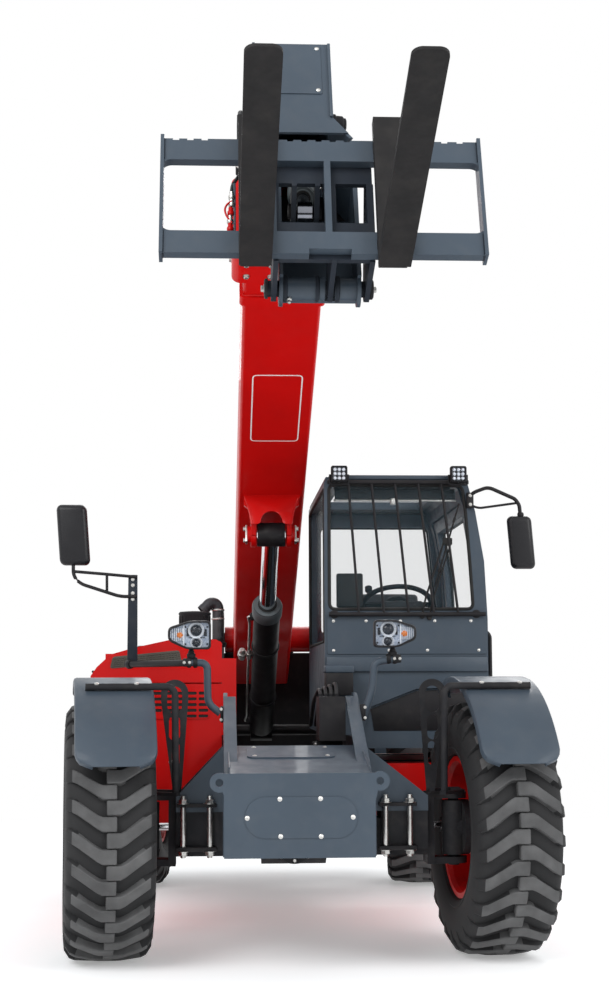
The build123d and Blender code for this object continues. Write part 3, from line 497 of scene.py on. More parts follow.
@dataclass(frozen=True)
class ClearFinish(Finish):
    """Glass and clear lenses."""

    clearness: float = 0.9

    def paint(self, tree: Tree, shader: Node, coords: Socket) -> None:
        """Clear body with faint smears in its gloss."""
        shader.inputs["Base Color"].default_value = (*self.colour, 1)
        shader.inputs["IOR"].default_value = 1.3
        shader.inputs["Alpha"].default_value = 1 - self.clearness
        smear = ramp(tree, noise(tree, coords, self.blotch, 5), 0.4, 0.8, self.roughness,
                     self.roughness + 0.05)
        tree.links.new(smear, shader.inputs["Roughness"])


@dataclass(frozen=True)
class RubberFinish(Finish):
    """Tyre rubber: dark in the grooves and dusty on the worn lugs."""

    def paint(self, tree: Tree, shader: Node, coords: Socket) -> None:
        """Dust on the worn faces, found by a mask painted on the tyre's mesh."""
        worn = tree.nodes.new("ShaderNodeAttribute")
        worn.attribute_name = "worn"
        patches = ramp(tree, noise(tree, coords, 9, 6), 0.25, 0.75, 0.35, 1.0)
        share = tree.nodes.new("ShaderNodeMath")
        share.operation = "MULTIPLY"
        tree.links.new(worn.outputs["Fac"], share.inputs[0])
        tree.links.new(patches, share.inputs[1])
        dark = blend_colours(
            tree, ramp(tree, noise(tree, coords, self.blotch, 4), 0.35, 0.7), self.colour, self.second
        )
        colour = blend_colours(tree, share.outputs[0], dark, DUSTY_RUBBER)
        tree.links.new(colour, shader.inputs["Base Color"])
        shader.inputs["Roughness"].default_value = self.roughness


DUSTY_RUBBER = (0.11, 0.11, 0.111)


@dataclass(frozen=True)
class WeaveFinish(Finish):
    """Woven seat cloth."""

    pitch: float = 420.0

    def texture(self, tree: Tree, shader: Node, coords: Socket) -> None:
        """Relief of crossed threads."""
        threads = []
        for direction in ("X", "Z"):
            wave = tree.nodes.new("ShaderNodeTexWave")
            wave.bands_direction = direction
            wave.inputs["Scale"].default_value = self.pitch
            tree.links.new(coords, wave.inputs["Vector"])
            threads.append(wave.outputs["Fac"])
        cross = tree.nodes.new("ShaderNodeMath")
        cross.operation = "MAXIMUM"
        for socket, thread in zip(cross.inputs, threads):
            tree.links.new(thread, socket)
        bump(tree, shader, cross.outputs[0], self.relief)
        shader.inputs["Sheen Weight"].default_value = 0.3


@dataclass(frozen=True)
class GlowFinish(Finish):
    """Lamp reflectors, bright with fine facets."""

    def texture(self, tree: Tree, shader: Node, coords: Socket) -> None:
        """Relief of small facets."""
        cells = tree.nodes.new("ShaderNodeTexVoronoi")
        cells.inputs["Scale"].default_value = self.grain
        tree.links.new(coords, cells.inputs["Vector"])
        bump(tree, shader, cells.outputs["Distance"], self.relief)


RED = Finish("Red gloss paint", Slot.RED, (0.56, 0.0035, 0.003), (0.49, 0.003, 0.0025), 0.34, grain=60,
             relief=0.04, coat=0.12, dust=0.0, specular=0.18)
RIM_RED = Finish("Red wheel paint", Slot.RED, (0.56, 0.006, 0.005), (0.46, 0.006, 0.005), 0.4, relief=0.08,
                 coat=0.1, dust=0.06, specular=0.2)
SLATE = Finish("Slate grey paint", Slot.GREY, (0.05, 0.069, 0.092), (0.043, 0.06, 0.081), 0.42, grain=180,
               relief=0.06, coat=0.08, dust=0.04, specular=0.3)
# Slate grey darkened to paint in shade: a shaded copy of the slate paint, used on the coupler, the
# carriage's welds, the coupler's tube rings and the mirror post.
SLATE_PAINTED_SHADE = Finish("Slate paint with painted shade", Slot.GREY, (0.014, 0.019, 0.028), (0.018, 0.024, 0.034), 0.5,
                    grain=180, relief=0.08, dust=0.04, specular=0.2)
# Chrome of the tilt rod, darkened to paint in the shade that it sits in.
TILT_CHROME_IN_PAINTED_SHADE = Finish(
    "Chrome darkened with painted shade", Slot.CHROME, (0.26, 0.27, 0.3), (0.2, 0.21, 0.24), 0.16, metallic=1.0, relief=0.01
)
SLATE_PALE = Finish(
    "Pale grey paint", Slot.GREY, (0.11, 0.13, 0.138), (0.092, 0.11, 0.118), 0.45, relief=0.06, dust=0.06
)
BLACK = Finish("Black chassis paint", Slot.BLACK, (0.009, 0.0085, 0.01), (0.014, 0.013, 0.015), 0.42,
               grain=200, relief=0.1, dust=0.04, specular=0.22)
FORK_BLACK = Finish("Black fork paint", Slot.FORK, (0.0105, 0.01, 0.0105), (0.015, 0.014, 0.0145), 0.55,
                    blotch=9, grain=320, relief=0.12, dust=0.03, specular=0.2)
CAST = Finish("Rough cast iron", Slot.BLACK, (0.012, 0.012, 0.014), (0.02, 0.02, 0.023), 0.6, grain=90,
              relief=0.35, dust=0.07, specular=0.22)
CHROME = Finish(
    "Hard chrome", Slot.CHROME, (0.8, 0.8, 0.82), (0.72, 0.72, 0.74), 0.08, metallic=1.0, relief=0.01
)
ZINC = Finish("Zinc plated steel", Slot.CHROME, (0.62, 0.62, 0.6), (0.48, 0.47, 0.45), 0.32, metallic=1.0,
              blotch=60, relief=0.05)
ENGINE_IRON = Finish(
    "Engine iron", Slot.IRON, (0.11, 0.11, 0.11), (0.07, 0.07, 0.07), 0.6, metallic=0.4, grain=120,
    relief=0.4, dust=0.2
)
HOT_PIPE = Finish("Exhaust steel", Slot.PIPE, (0.04, 0.042, 0.048), (0.06, 0.06, 0.064), 0.45, metallic=0.4,
                  blotch=15, relief=0.1)
PLASTIC = Finish("Moulded black plastic", Slot.PLASTIC, (0.009, 0.009, 0.0105), (0.013, 0.013, 0.015), 0.5,
                 grain=500, relief=0.15, specular=0.22)
TRIM = Finish("Grey cab trim", Slot.PLASTIC, (0.026, 0.028, 0.031), (0.021, 0.023, 0.026), 0.6, grain=600,
              relief=0.2, specular=0.25)
SEAL = Finish("Black rubber seal", Slot.PLASTIC, (0.01, 0.01, 0.01), (0.014, 0.014, 0.014), 0.65, grain=300,
              relief=0.1)
HOSE = Finish("Hydraulic hose", Slot.PLASTIC, (0.014, 0.014, 0.015), (0.022, 0.022, 0.024), 0.42, grain=700,
              relief=0.25)
RUBBER = RubberFinish(
    "Tyre rubber", Slot.TYRE, (0.013, 0.013, 0.014), (0.02, 0.02, 0.021), 0.74, grain=140, relief=0.25
)
CLOTH = WeaveFinish(
    "Woven seat cloth", Slot.FABRIC, (0.03, 0.031, 0.034), (0.045, 0.046, 0.05), 0.9, relief=0.5
)
VINYL = Finish(
    "Seat edge vinyl", Slot.FABRIC, (0.016, 0.016, 0.018), (0.024, 0.024, 0.026), 0.5, grain=350, relief=0.4
)
MESH = Finish("Fine grille mesh", Slot.PLASTIC, (0.12, 0.108, 0.09), (0.08, 0.072, 0.062), 0.6, grain=400,
              relief=0.3, specular=0.2)
SHELL = Finish("Glossy black plastic", Slot.PLASTIC, (0.007, 0.007, 0.009), (0.01, 0.01, 0.012), 0.32,
               grain=300, relief=0.03, specular=0.3)
GLASS = ClearFinish(
    "Cab glass", Slot.GLASS, (0.1, 0.16, 0.19), (0, 0, 0), 0.02, clearness=0.93, specular=0.3
)
LENS = ClearFinish("Clear lamp lens", Slot.GLASS, (0.2, 0.23, 0.26), (0, 0, 0), 0.03, clearness=0.96)
DARK_LENS = Finish("Projector lens", Slot.GLASS, (0.006, 0.008, 0.014), (0.012, 0.016, 0.028), 0.12,
                   relief=0.0, specular=0.35)
AMBER = ClearFinish("Amber lens", Slot.GLASS, (0.85, 0.22, 0.02), (0, 0, 0), 0.1, clearness=0.25)
RED_LENS = ClearFinish("Red lens", Slot.GLASS, (0.75, 0.02, 0.02), (0, 0, 0), 0.12, clearness=0.2)
REFLECTOR = GlowFinish(
    "Lamp reflector", Slot.CHROME, (0.78, 0.82, 0.88), (0.66, 0.71, 0.8), 0.14, metallic=0.2, grain=90,
    relief=0.5
)
BEZEL = Finish("Lamp bezel", Slot.CHROME, (0.52, 0.58, 0.68), (0.26, 0.32, 0.44), 0.22, blotch=90,
               metallic=0.4, relief=0.02)
SIGN_WHITE = Finish("White sign border", Slot.RED, (0.8, 0.8, 0.8), (0.76, 0.76, 0.75), 0.45, relief=0.02)
MIRROR = Finish(
    "Mirror silver", Slot.CHROME, (0.9, 0.91, 0.92), (0.88, 0.89, 0.9), 0.03, metallic=1.0, relief=0.0
)

_made: dict[str, bpy.types.Material] = {}


def material_of(finish: Finish) -> bpy.types.Material:
    """The finish's material, made the first time it is asked for."""
    if finish.name not in _made:
        _made[finish.name] = finish.build()
    return _made[finish.name]


def hand_over(
    made: Piece | Sequence[Piece],
    name: str,
    finish: Finish,
    body: str = "chassis",
    *,
    replaces: Sequence[str] = (),
    smooth: float = 32,
    also: Sequence[Finish] = (),
) -> Piece:
    """Names, dresses and mounts a finished piece.

    Args:
        made: The finished mesh, in place, or the meshes that are joined into it.
        name: Name of the piece.
        finish: Its finish.
        body: CAD body that it rides on.
        replaces: CAD nodes that it stands for.
        smooth: Largest angle that is shaded smooth, in degrees.
        also: Further finishes, for faces with a material index above 0.

    Returns:
        The finished piece.
    """
    piece = settle(join(made) if isinstance(made, list) else made)
    piece.name = name
    piece.data.name = name
    piece.data.materials.clear()
    for each in (finish, *also):
        piece.data.materials.append(material_of(each))
    focus(piece)
    bpy.ops.object.shade_smooth_by_angle(angle=math.radians(smooth))
    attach(piece, body)
    if replaces:
        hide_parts(*replaces)
    LOG.info("%s rides on %s", name, body)
    return piece


def dress(node: str, finish: Finish) -> None:
    """Gives a CAD node its finish."""
    mesh = frame["nodes"][node].data
    mesh.materials.clear()
    mesh.materials.append(material_of(finish))


# ---------------------------------------------------------------- shared outlines
class Section:
    """Outlines of spun pieces, as (distance along the axis, radius)."""

    HUB_CAP = ((0.108, 0.0), (0.108, 0.118), (0.132, 0.118), (0.138, 0.112), (0.138, 0.1), (0.176, 0.094),
               (0.184, 0.086), (0.184, 0.04), (0.19, 0.034), (0.19, 0.0))
    HOSE_BOSS = ((0.0, 0.0), (0.0, 0.042), (0.016, 0.042), (0.02, 0.036), (0.045, 0.034), (0.052, 0.026),
                 (0.058, 0.026), (0.062, 0.018), (0.062, 0.0))
    PIN_CAP = ((-0.002, 0.0), (-0.002, 0.052), (0.008, 0.052), (0.011, 0.046), (0.011, 0.0))
    HEAD_UNION = ((-0.004, 0), (-0.004, 0.0165), (0.022, 0.0165), (0.022, 0.013), (0.036, 0.013),
                  (0.036, 0))
    TUBE_RING = ((-0.002, 0.046), (-0.002, 0.053), (0.01, 0.053), (0.014, 0.048), (0.014, 0.046))
    NIPPLE = ((0.0, 0.0), (0.0, 0.01), (0.012, 0.01), (0.016, 0.006), (0.026, 0.006), (0.03, 0.003),
              (0.03, 0.0))
    COUPLER_PIN_CAP = ((-0.004, 0.0), (-0.004, 0.04), (0.006, 0.04), (0.01, 0.034), (0.01, 0.0))
    EYE_PIN_CAP = ((-0.002, 0.0), (-0.002, 0.03), (0.008, 0.03), (0.01, 0.0))
    PORT = ((0, 0.0), (0, 0.024), (0.022, 0.024), (0.024, 0.018), (0.03, 0.018), (0.03, 0.0))
    EYE_SLEEVE = ((-0.0775, 0.05), (-0.0775, 0.0645), (-0.074, 0.0662), (0.074, 0.0662), (0.0775, 0.0645),
                  (0.0775, 0.05))
    NOSE_UNION = ((0, 0), (0, 0.016), (0.022, 0.016), (0.022, 0.0125), (0.034, 0.0125), (0.034, 0))
    AXLE_COVER = ((0, 0.118), (0.026, 0.118), (0.032, 0.112), (0.032, 0.086), (0.046, 0.07), (0.052, 0.0))
    STEERING_UNION = (
        (-0.006, 0.0), (-0.006, 0.016), (0.016, 0.016), (0.016, 0.012), (0.024, 0.012), (0.024, 0.0)
    )
    GUARD_FOOT = ((-0.001, 0.0), (-0.001, 0.024), (0.005, 0.024), (0.007, 0.018), (0.007, 0.0))
    GAUGE = ((0, 0.0), (0, 0.024), (0.004, 0.026), (0.006, 0.022), (0.003, 0.02), (0.003, 0.0))
    WHEEL_BOSS = ((0.01, 0.0), (0.01, 0.056), (0.02, 0.06), (0.032, 0.052), (0.04, 0.03), (0.042, 0.0))
    COLUMN_SHROUD = ((-0.3, 0.036), (-0.27, 0.052), (-0.12, 0.058), (-0.05, 0.048), (-0.03, 0.034))
    SPINNER = ((0.0, 0.0), (0.0, 0.01), (0.016, 0.01), (0.022, 0.02), (0.046, 0.02), (0.052, 0.012),
               (0.052, 0.0))
    GAITER = ((0.0, 0.044), (0.012, 0.046), (0.02, 0.036), (0.03, 0.038), (0.04, 0.026), (0.05, 0.012))
    LEVER_KNOB = ((0.0, 0.0), (0.004, 0.016), (0.03, 0.021), (0.07, 0.024), (0.1, 0.021), (0.112, 0.01),
                  (0.114, 0.0))
    DOME_LAMP = ((0, 0.0), (0, 0.048), (0.006, 0.048), (0.016, 0.04), (0.024, 0.022), (0.026, 0.0))
    VENT = ((0, 0.0), (0, 0.03), (0.006, 0.032), (0.01, 0.028), (0.004, 0.024), (0.004, 0.0))
    INDICATOR = ((0.0, 0.016), (0.008, 0.0155), (0.014, 0.012), (0.017, 0.006), (0.018, 0.0))
    LAMP_COLLAR = ((-0.012, 0.01), (-0.012, 0.02), (0.004, 0.022), (0.008, 0.016), (0.02, 0.014),
                   (0.02, 0.01))
    WORK_LENS = ((0.0, 0.0), (0.0, 0.01), (0.004, 0.009), (0.008, 0.005), (0.009, 0.0))
    PRECLEANER = (
        (0.0, 0.056), (0.055, 0.056), (0.062, 0.082), (0.07, 0.086), (0.08, 0.086), (0.088, 0.081),
        (0.15, 0.083), (0.158, 0.087), (0.166, 0.087), (0.172, 0.08), (0.176, 0.03), (0.176, 0.0)
    )
    EXHAUST_LIP = ((-0.012, 0.0325), (-0.012, 0.035), (0.014, 0.035), (0.014, 0.0305), (0.0, 0.03))
    EXHAUST_SOOT = ((0.0015, 0.0), (0.001, 0.02), (0.006, 0.0302), (-0.002, 0.0302), (-0.002, 0.0))
    EXHAUST_FLANGE = ((-0.02, 0.0325), (-0.02, 0.05), (0.006, 0.052), (0.012, 0.044), (0.03, 0.0335))
    FILLER_CAP = ((-0.02, 0.0), (-0.02, 0.036), (0.012, 0.036), (0.014, 0.044), (0.03, 0.044),
                  (0.036, 0.036), (0.036, 0))
    TANK_CAP = ((-0.005, 0.0), (-0.005, 0.05), (0.02, 0.05), (0.022, 0.058), (0.046, 0.058), (0.052, 0.048),
                (0.052, 0))
    DRAWBAR_PIN = ((0.0, 0.0), (0.006, 0.0145), (0.15, 0.0145), (0.15, 0.024), (0.162, 0.026), (0.17, 0.02),
                   (0.17, 0.0))


class Route:
    """Middle lines of bent tubes, as points of the row."""

    VALVE_STEM = ((0.06, 0.262, 0), (0.085, 0.262, 0), (0.105, 0.248, 0))
    GRAB_RAIL = ((1.012, 0.345, 1.14), (1.045, 0.345, 1.16), (1.045, 0.345, 1.52), (1.012, 0.345, 1.54))
    LEFT_MIRROR_ARM = ((0.936, 0.238, 2.246), (0.955, 0.222, 2.263), (1.014, 0.205, 2.284),
                       (1.04, 0.2, 2.281), (1.166, 0.2, 2.225), (1.188, 0.2, 2.193), (1.194, 0.2, 2.125))
    LEFT_MIRROR_STAY = ((0.936, 0.236, 2.196), (0.975, 0.215, 2.177), (1.18, 0.2, 2.204))
    HOOD_GRIP = ((-1.044, 0.68, 1.32), (-1.066, 0.68, 1.334), (-1.066, 0.82, 1.334), (-1.044, 0.82, 1.32))
    PIN_LOOP = ((-0.016, 3.516, 0.7), (-0.022, 3.516, 0.73), (0.0, 3.516, 0.748), (0.022, 3.516, 0.73),
                (0.016, 3.516, 0.7))


# ---------------------------------------------------------------- fasteners
class BoltHead(Enum):
    """Kinds of bolt head."""

    HEX = "hex"
    DOME = "dome"
    NUT = "nut"


@dataclass(frozen=True)
class Fastener:
    """Bolt head or nut, drawn about the origin and facing +Z."""

    radius: float
    head: BoltHead = BoltHead.HEX

    def pattern(self) -> Piece:
        """Models one head on its washer."""
        if self.head is BoltHead.DOME:
            rise = self.radius * 0.62
            arc = [(rise * math.sin(a), self.radius * math.cos(a)) for a in (0.0, 0.5, 0.95, 1.3)]
            return lathe([(-0.002, self.radius * 1.25), (0.0015, self.radius * 1.25), (0.002, self.radius),
                          *arc[1:], (rise, 0)], (0, 0, 0), (0, 0, 1), 14)
        high = self.radius * (0.7 if self.head is BoltHead.HEX else 0.95)
        bpy.ops.mesh.primitive_cylinder_add(
            vertices=6, radius=self.radius, depth=high, location=(0, 0, high / 2 + 0.002)
        )
        piece = settle(bpy.context.object)
        with editing(piece):
            pick_faces(lambda middle, normal: normal.z > 0.9)
            bpy.ops.mesh.inset(thickness=self.radius * 0.14, depth=self.radius * 0.12)
            if self.head is BoltHead.NUT:
                bpy.ops.mesh.inset(thickness=self.radius * 0.28)
                pull((0, 0, self.radius * 0.6))
        washer = lathe([(-0.001, 0), (-0.001, self.radius * 1.4), (0.002, self.radius * 1.4), (0.002, 0)],
                       (0, 0, 0), (0, 0, 1), 16)
        return join([piece, washer])

    def row(self, spots: Sequence[tuple[Point, Point]]) -> Piece:
        """Copies the head to several places.

        Args:
            spots: Pairs of a place and the direction that the head faces.

        Returns:
            All the heads, as one piece.
        """
        pattern = self.pattern()
        made = copies(pattern, [looking(spot, normal) for spot, normal in spots])
        scrap(pattern)
        return join(made)

    def mount(self, spots: Sequence[tuple[Point, Point]], name: str, body: str = "chassis",
              finish: Finish = ZINC) -> None:
        """Copies the head to several places and hands the row over.

        Args:
            spots: Pairs of a place and the direction that the head faces.
            name: Name of the row.
            body: CAD body that it rides on.
            finish: Its finish.
        """
        hand_over(self.row(spots), name, finish, body)


# ---------------------------------------------------------------- wheels
CORNERS = ("front_left", "front_right", "rear_left", "rear_right")
# Side wall and inside of the casing, as (distance from the middle plane, radius)
TYRE_WALL = (
    (0.146, 0.314), (0.146, 0.333), (0.178, 0.34), (0.19, 0.356), (0.194, 0.368), (0.1905, 0.374),
    (0.1985, 0.395), (0.202, 0.43), (0.202, 0.462), (0.1975, 0.492), (0.192, 0.515), (0.18, 0.536),
    (0.16, 0.548), (0.11, 0.5545)
)
TYRE_INSIDE = ((0.13, 0.322), (0.15, 0.38), (0.15, 0.5), (0.1, 0.52))
# Stations along a lug, as (across, round the tyre, distance from the axle, half width)
LUG_STATIONS = ((-0.022, 0.0, 0.59, 0.031), (0.04, 0.0, 0.59, 0.03), (0.062, 0.01, 0.589, 0.029),
                (0.15, 0.068, 0.5795, 0.027), (0.172, 0.08, 0.57, 0.027), (0.196, 0.094, 0.535, 0.025),
                (0.2015, 0.102, 0.478, 0.014))


def around(count: int, radius: float, phase: float = 0.0) -> list[tuple[float, float]]:
    """Places spaced evenly round a circle, the first one a share of a step on from its start."""
    angles = (2 * math.pi * (step + phase) / count for step in range(count))
    return [(radius * math.cos(angle), radius * math.sin(angle)) for angle in angles]


def tinted(piece: Piece, test: Test) -> None:
    """Marks the faces that pass a test as worn, for the rubber's dust."""
    worn = piece.data.attributes.new("worn", "FLOAT", "FACE")
    worn.data.foreach_set(
        "value", [1.0 if test(face.center, face.normal) else 0.0 for face in piece.data.polygons]
    )


@dataclass
class Wheel:
    """Lugged tyre on a steel rim, drawn with its axle along +X, outwards, and set at its joint."""

    corner: str
    carcass: float = 0.556
    lugs: int = 26
    lug_depth: float = 0.05
    nuts: int = 10
    nut_circle: float = 0.205
    cap_bolts: int = 8
    cap_circle: float = 0.063

    @property
    def turn(self) -> Matrix:
        """Matrix from the wheel's own axes to the row's."""
        joint = JOINTS[f"{self.corner}_roll"]
        outwards = Vector(joint["axis"]) * (1 if "left" in self.corner else -1)
        back = Vector((0, 0, 1)).cross(outwards)
        turned = Matrix((outwards, back, Vector((0, 0, 1)))).transposed().to_4x4()
        return Matrix.Translation(Vector(joint["pos_m"])) @ turned

    def carcass_piece(self) -> Piece:
        """Spins the casing: beads, bulged side walls with rings, and a shallow crown."""
        side = [*TYRE_WALL, (0.055, self.carcass)]
        profile = [(-x, r) for x, r in side] + side[::-1]
        ring = [*profile, *TYRE_INSIDE, *((-x, r) for x, r in reversed(TYRE_INSIDE)), profile[0]]
        return lathe(ring, (0, 0, 0), (1, 0, 0), 104)

    def lug(self, side: int) -> Piece:
        """Models one lug: a root over the middle, an arm that sweeps to the shoulder, and a toe.

        Args:
            side: 1 for the outer half of the tread and -1 for the inner half.

        Returns:
            The lug at the top of the tyre.
        """
        ribbon = trace([self._spot(side, LUG_STATIONS[0], end) for end in (-1, 1)])
        with editing(ribbon):
            bpy.ops.mesh.select_all(action="SELECT")
            for here, there in zip(LUG_STATIONS, LUG_STATIONS[1:]):
                shift = self._spot(side, there, 0) - self._spot(side, here, 0)
                pull(shift)
                widen = there[3] / here[3]
                bpy.ops.transform.resize(
                    value=(widen, widen, widen), center_override=self._spot(side, there, 0)
                )
            bpy.ops.mesh.select_all(action="SELECT")
            bpy.ops.mesh.normals_make_consistent(inside=False)
        self._face_out(ribbon)
        thicken(ribbon, self.lug_depth)
        mend(ribbon)
        soften(ribbon, 0.0045, 1, 40)
        return ribbon

    def _spot(self, side: int, station: Point, edge: float) -> Vector:
        """Point on a lug's top: its station, shifted to one edge of the lug."""
        across, round_by, reach, half = station
        angle = (round_by + edge * half) / self.carcass
        return Vector((side * across, -reach * math.sin(angle), reach * math.cos(angle)))

    @staticmethod
    def _face_out(ribbon: Piece) -> None:
        """Turns a ribbon's faces away from the axle."""
        with editing(ribbon):
            pick_faces(lambda middle, normal: normal.dot(Vector((0, middle.y, middle.z))) < 0)
            bpy.ops.mesh.flip_normals()

    def tyre(self) -> None:
        """Builds the tyre and its two rings of lugs, half a pitch apart."""
        pitch = 2 * math.pi / self.lugs
        rings = []
        for side, shift in ((1, 0.0), (-1, 0.5)):
            pattern = self.lug(side)
            rings += copies(
                pattern, [Matrix.Rotation((step + shift) * pitch, 4, "X") for step in range(self.lugs)]
            )
            scrap(pattern)
        lugs = join(rings)
        tinted(lugs, lambda middle, normal: math.hypot(middle.y, middle.z) > self.carcass + 0.004)
        casing = self.carcass_piece()
        tinted(casing, lambda middle, normal: False)
        tyre = join([casing, lugs])
        hand_over(place(tyre, self.turn), f"{self.corner}_tyre_tread", RUBBER, f"{self.corner}_wheel",
                  replaces=[f"{self.corner}_tyre"], smooth=35)

    def mount(self, piece: Piece, name: str, finish: Finish) -> None:
        """Sets a piece at the wheel's joint and hands it over."""
        hand_over(place(piece, self.turn), f"{self.corner}_{name}", finish, f"{self.corner}_wheel")

    def hub(self) -> None:
        """Builds the hub's cap with its bolts, the wheel nuts and the valve."""
        cap = lathe(Section.HUB_CAP, (0, 0, 0), (1, 0, 0), 48)
        self.mount(cap, "hub_cap", CAST)
        spots = [((0.184, *spot), (1, 0, 0)) for spot in around(self.cap_bolts, self.cap_circle)]
        self.mount(Fastener(0.01).row(spots), "hub_bolts", ZINC)
        spots = [((0.072, *spot), (1, 0, 0)) for spot in around(self.nuts, self.nut_circle)]
        self.mount(Fastener(0.017, BoltHead.NUT).row(spots), "wheel_nuts", ZINC)
        self.mount(pipe(Route.VALVE_STEM, 0.005, 0.008), "valve", SEAL)

    def build(self) -> None:
        """Builds the whole wheel."""
        dress(f"{self.corner}_rim", RIM_RED)
        self.tyre()
        self.hub()


@dataclass
class Fender:
    """Steel mudguard over a wheel, drawn about its kingpin with +X outboard and +Y towards its low lip."""

    corner: str
    radius: float = 0.705
    inner: float = -0.01
    outer: float = 0.35
    front_arc: Point = (27.0, 117.0)
    rear_arc: Point = (50.0, 114.0)
    skirt: float = 0.034
    fold: float = 0.014
    thickness: float = 0.005
    lip_round: float = 0.085
    steps: int = 44

    @property
    def leads(self) -> float:
        """1 when the lip faces the tail and -1 when it faces the nose."""
        return -1.0 if "front" in self.corner else 1.0

    @property
    def turn(self) -> Matrix:
        """Matrix from the fender's own axes to the row's."""
        pin = Vector(JOINTS[f"{self.corner}_steer"]["pos_m"])
        outwards = Vector(JOINTS[f"{self.corner}_roll"]["axis"]) * (1 if "left" in self.corner else -1)
        lead = Vector((0, 0, 1)).cross(outwards)
        lead = lead if lead.y * self.leads > 0 else -lead
        turned = Matrix((outwards, lead, Vector((0, 0, 1)))).transposed().to_4x4()
        return Matrix.Translation(pin) @ turned

    def sheet(self) -> Piece:
        """Spins the guard from its section and rounds the corners of both lips."""
        low, high = self.front_arc if self.leads < 0 else self.rear_arc
        middle = (self.inner + self.outer) / 2
        half = (self.outer - self.inner) / 2
        edge = ((0.0, self.skirt), (0.0, self.fold), (0.004, 0.004), (self.fold, 0.0), (0.1, 0.0))
        section = [(self.inner + run, self.radius - drop) for run, drop in edge]
        section.append((middle, self.radius))
        section += [(self.outer - run, self.radius - drop) for run, drop in reversed(edge)]
        start = (0, math.cos(math.radians(low)), math.sin(math.radians(low)))
        guard = lathe(section, (0, 0, 0), (1, 0, 0), self.steps, high - low, start)
        pitch = math.radians(high - low) / self.steps * self.radius
        for end in (0, self.steps):
            for step in range(int(self.lip_round / pitch) + 1):
                ring = step if end == 0 else self.steps - step
                reach = max(self.lip_round - step * pitch, 0)
                inset = 0.9 * (self.lip_round - math.sqrt(max(self.lip_round**2 - reach**2, 0)))
                angle = math.radians(low) + math.radians(high - low) * ring / self.steps
                spoke = Vector((0, math.cos(angle), math.sin(angle)))
                square = Vector((0, -math.sin(angle), math.cos(angle)))
                with editing(guard):
                    pick_points(lambda spot: abs(spot.dot(square)) < pitch * 0.2 and spot.dot(spoke) > 0)
                    bpy.ops.transform.resize(
                        value=((half - inset) / half, 1, 1), center_override=(middle, 0, 0)
                    )
        with editing(guard):
            pick_faces(lambda spot, normal: normal.dot(Vector((0, spot.y, spot.z))) < -0.3)
            bpy.ops.mesh.flip_normals()
        self._outwards(guard)
        thicken(guard, self.thickness)
        return soften(guard, 0.0015, 1, 60)

    def _outwards(self, guard: Piece) -> None:
        """Turns the sheet's faces away from the wheel."""
        with editing(guard):
            bpy.ops.mesh.select_all(action="SELECT")
            bpy.ops.mesh.normals_make_consistent(inside=False)
            mesh = bmesh.from_edit_mesh(guard.data)
            if sum(
                face.normal.dot(face.calc_center_median() * Vector((0, 1, 1))) for face in mesh.faces
            ) < 0:
                bpy.ops.mesh.flip_normals()

    def build(self) -> None:
        """Builds the guard and its bolts, and dresses the knuckle below it."""
        body = f"{self.corner}_hub"
        dress(f"{self.corner}_knuckle", CAST)
        hand_over(place(self.sheet(), self.turn), f"{self.corner}_guard", SLATE, body,
                  replaces=[f"{self.corner}_fender"], smooth=40)
        spots = [((x, 0.2962, 0.676), (0, 0.4, 0.917)) for x in (0.07, 0.25)]
        bolts = Fastener(0.009, BoltHead.DOME).row(spots)
        hand_over(place(bolts, self.turn), f"{self.corner}_guard_bolts", ZINC, body)


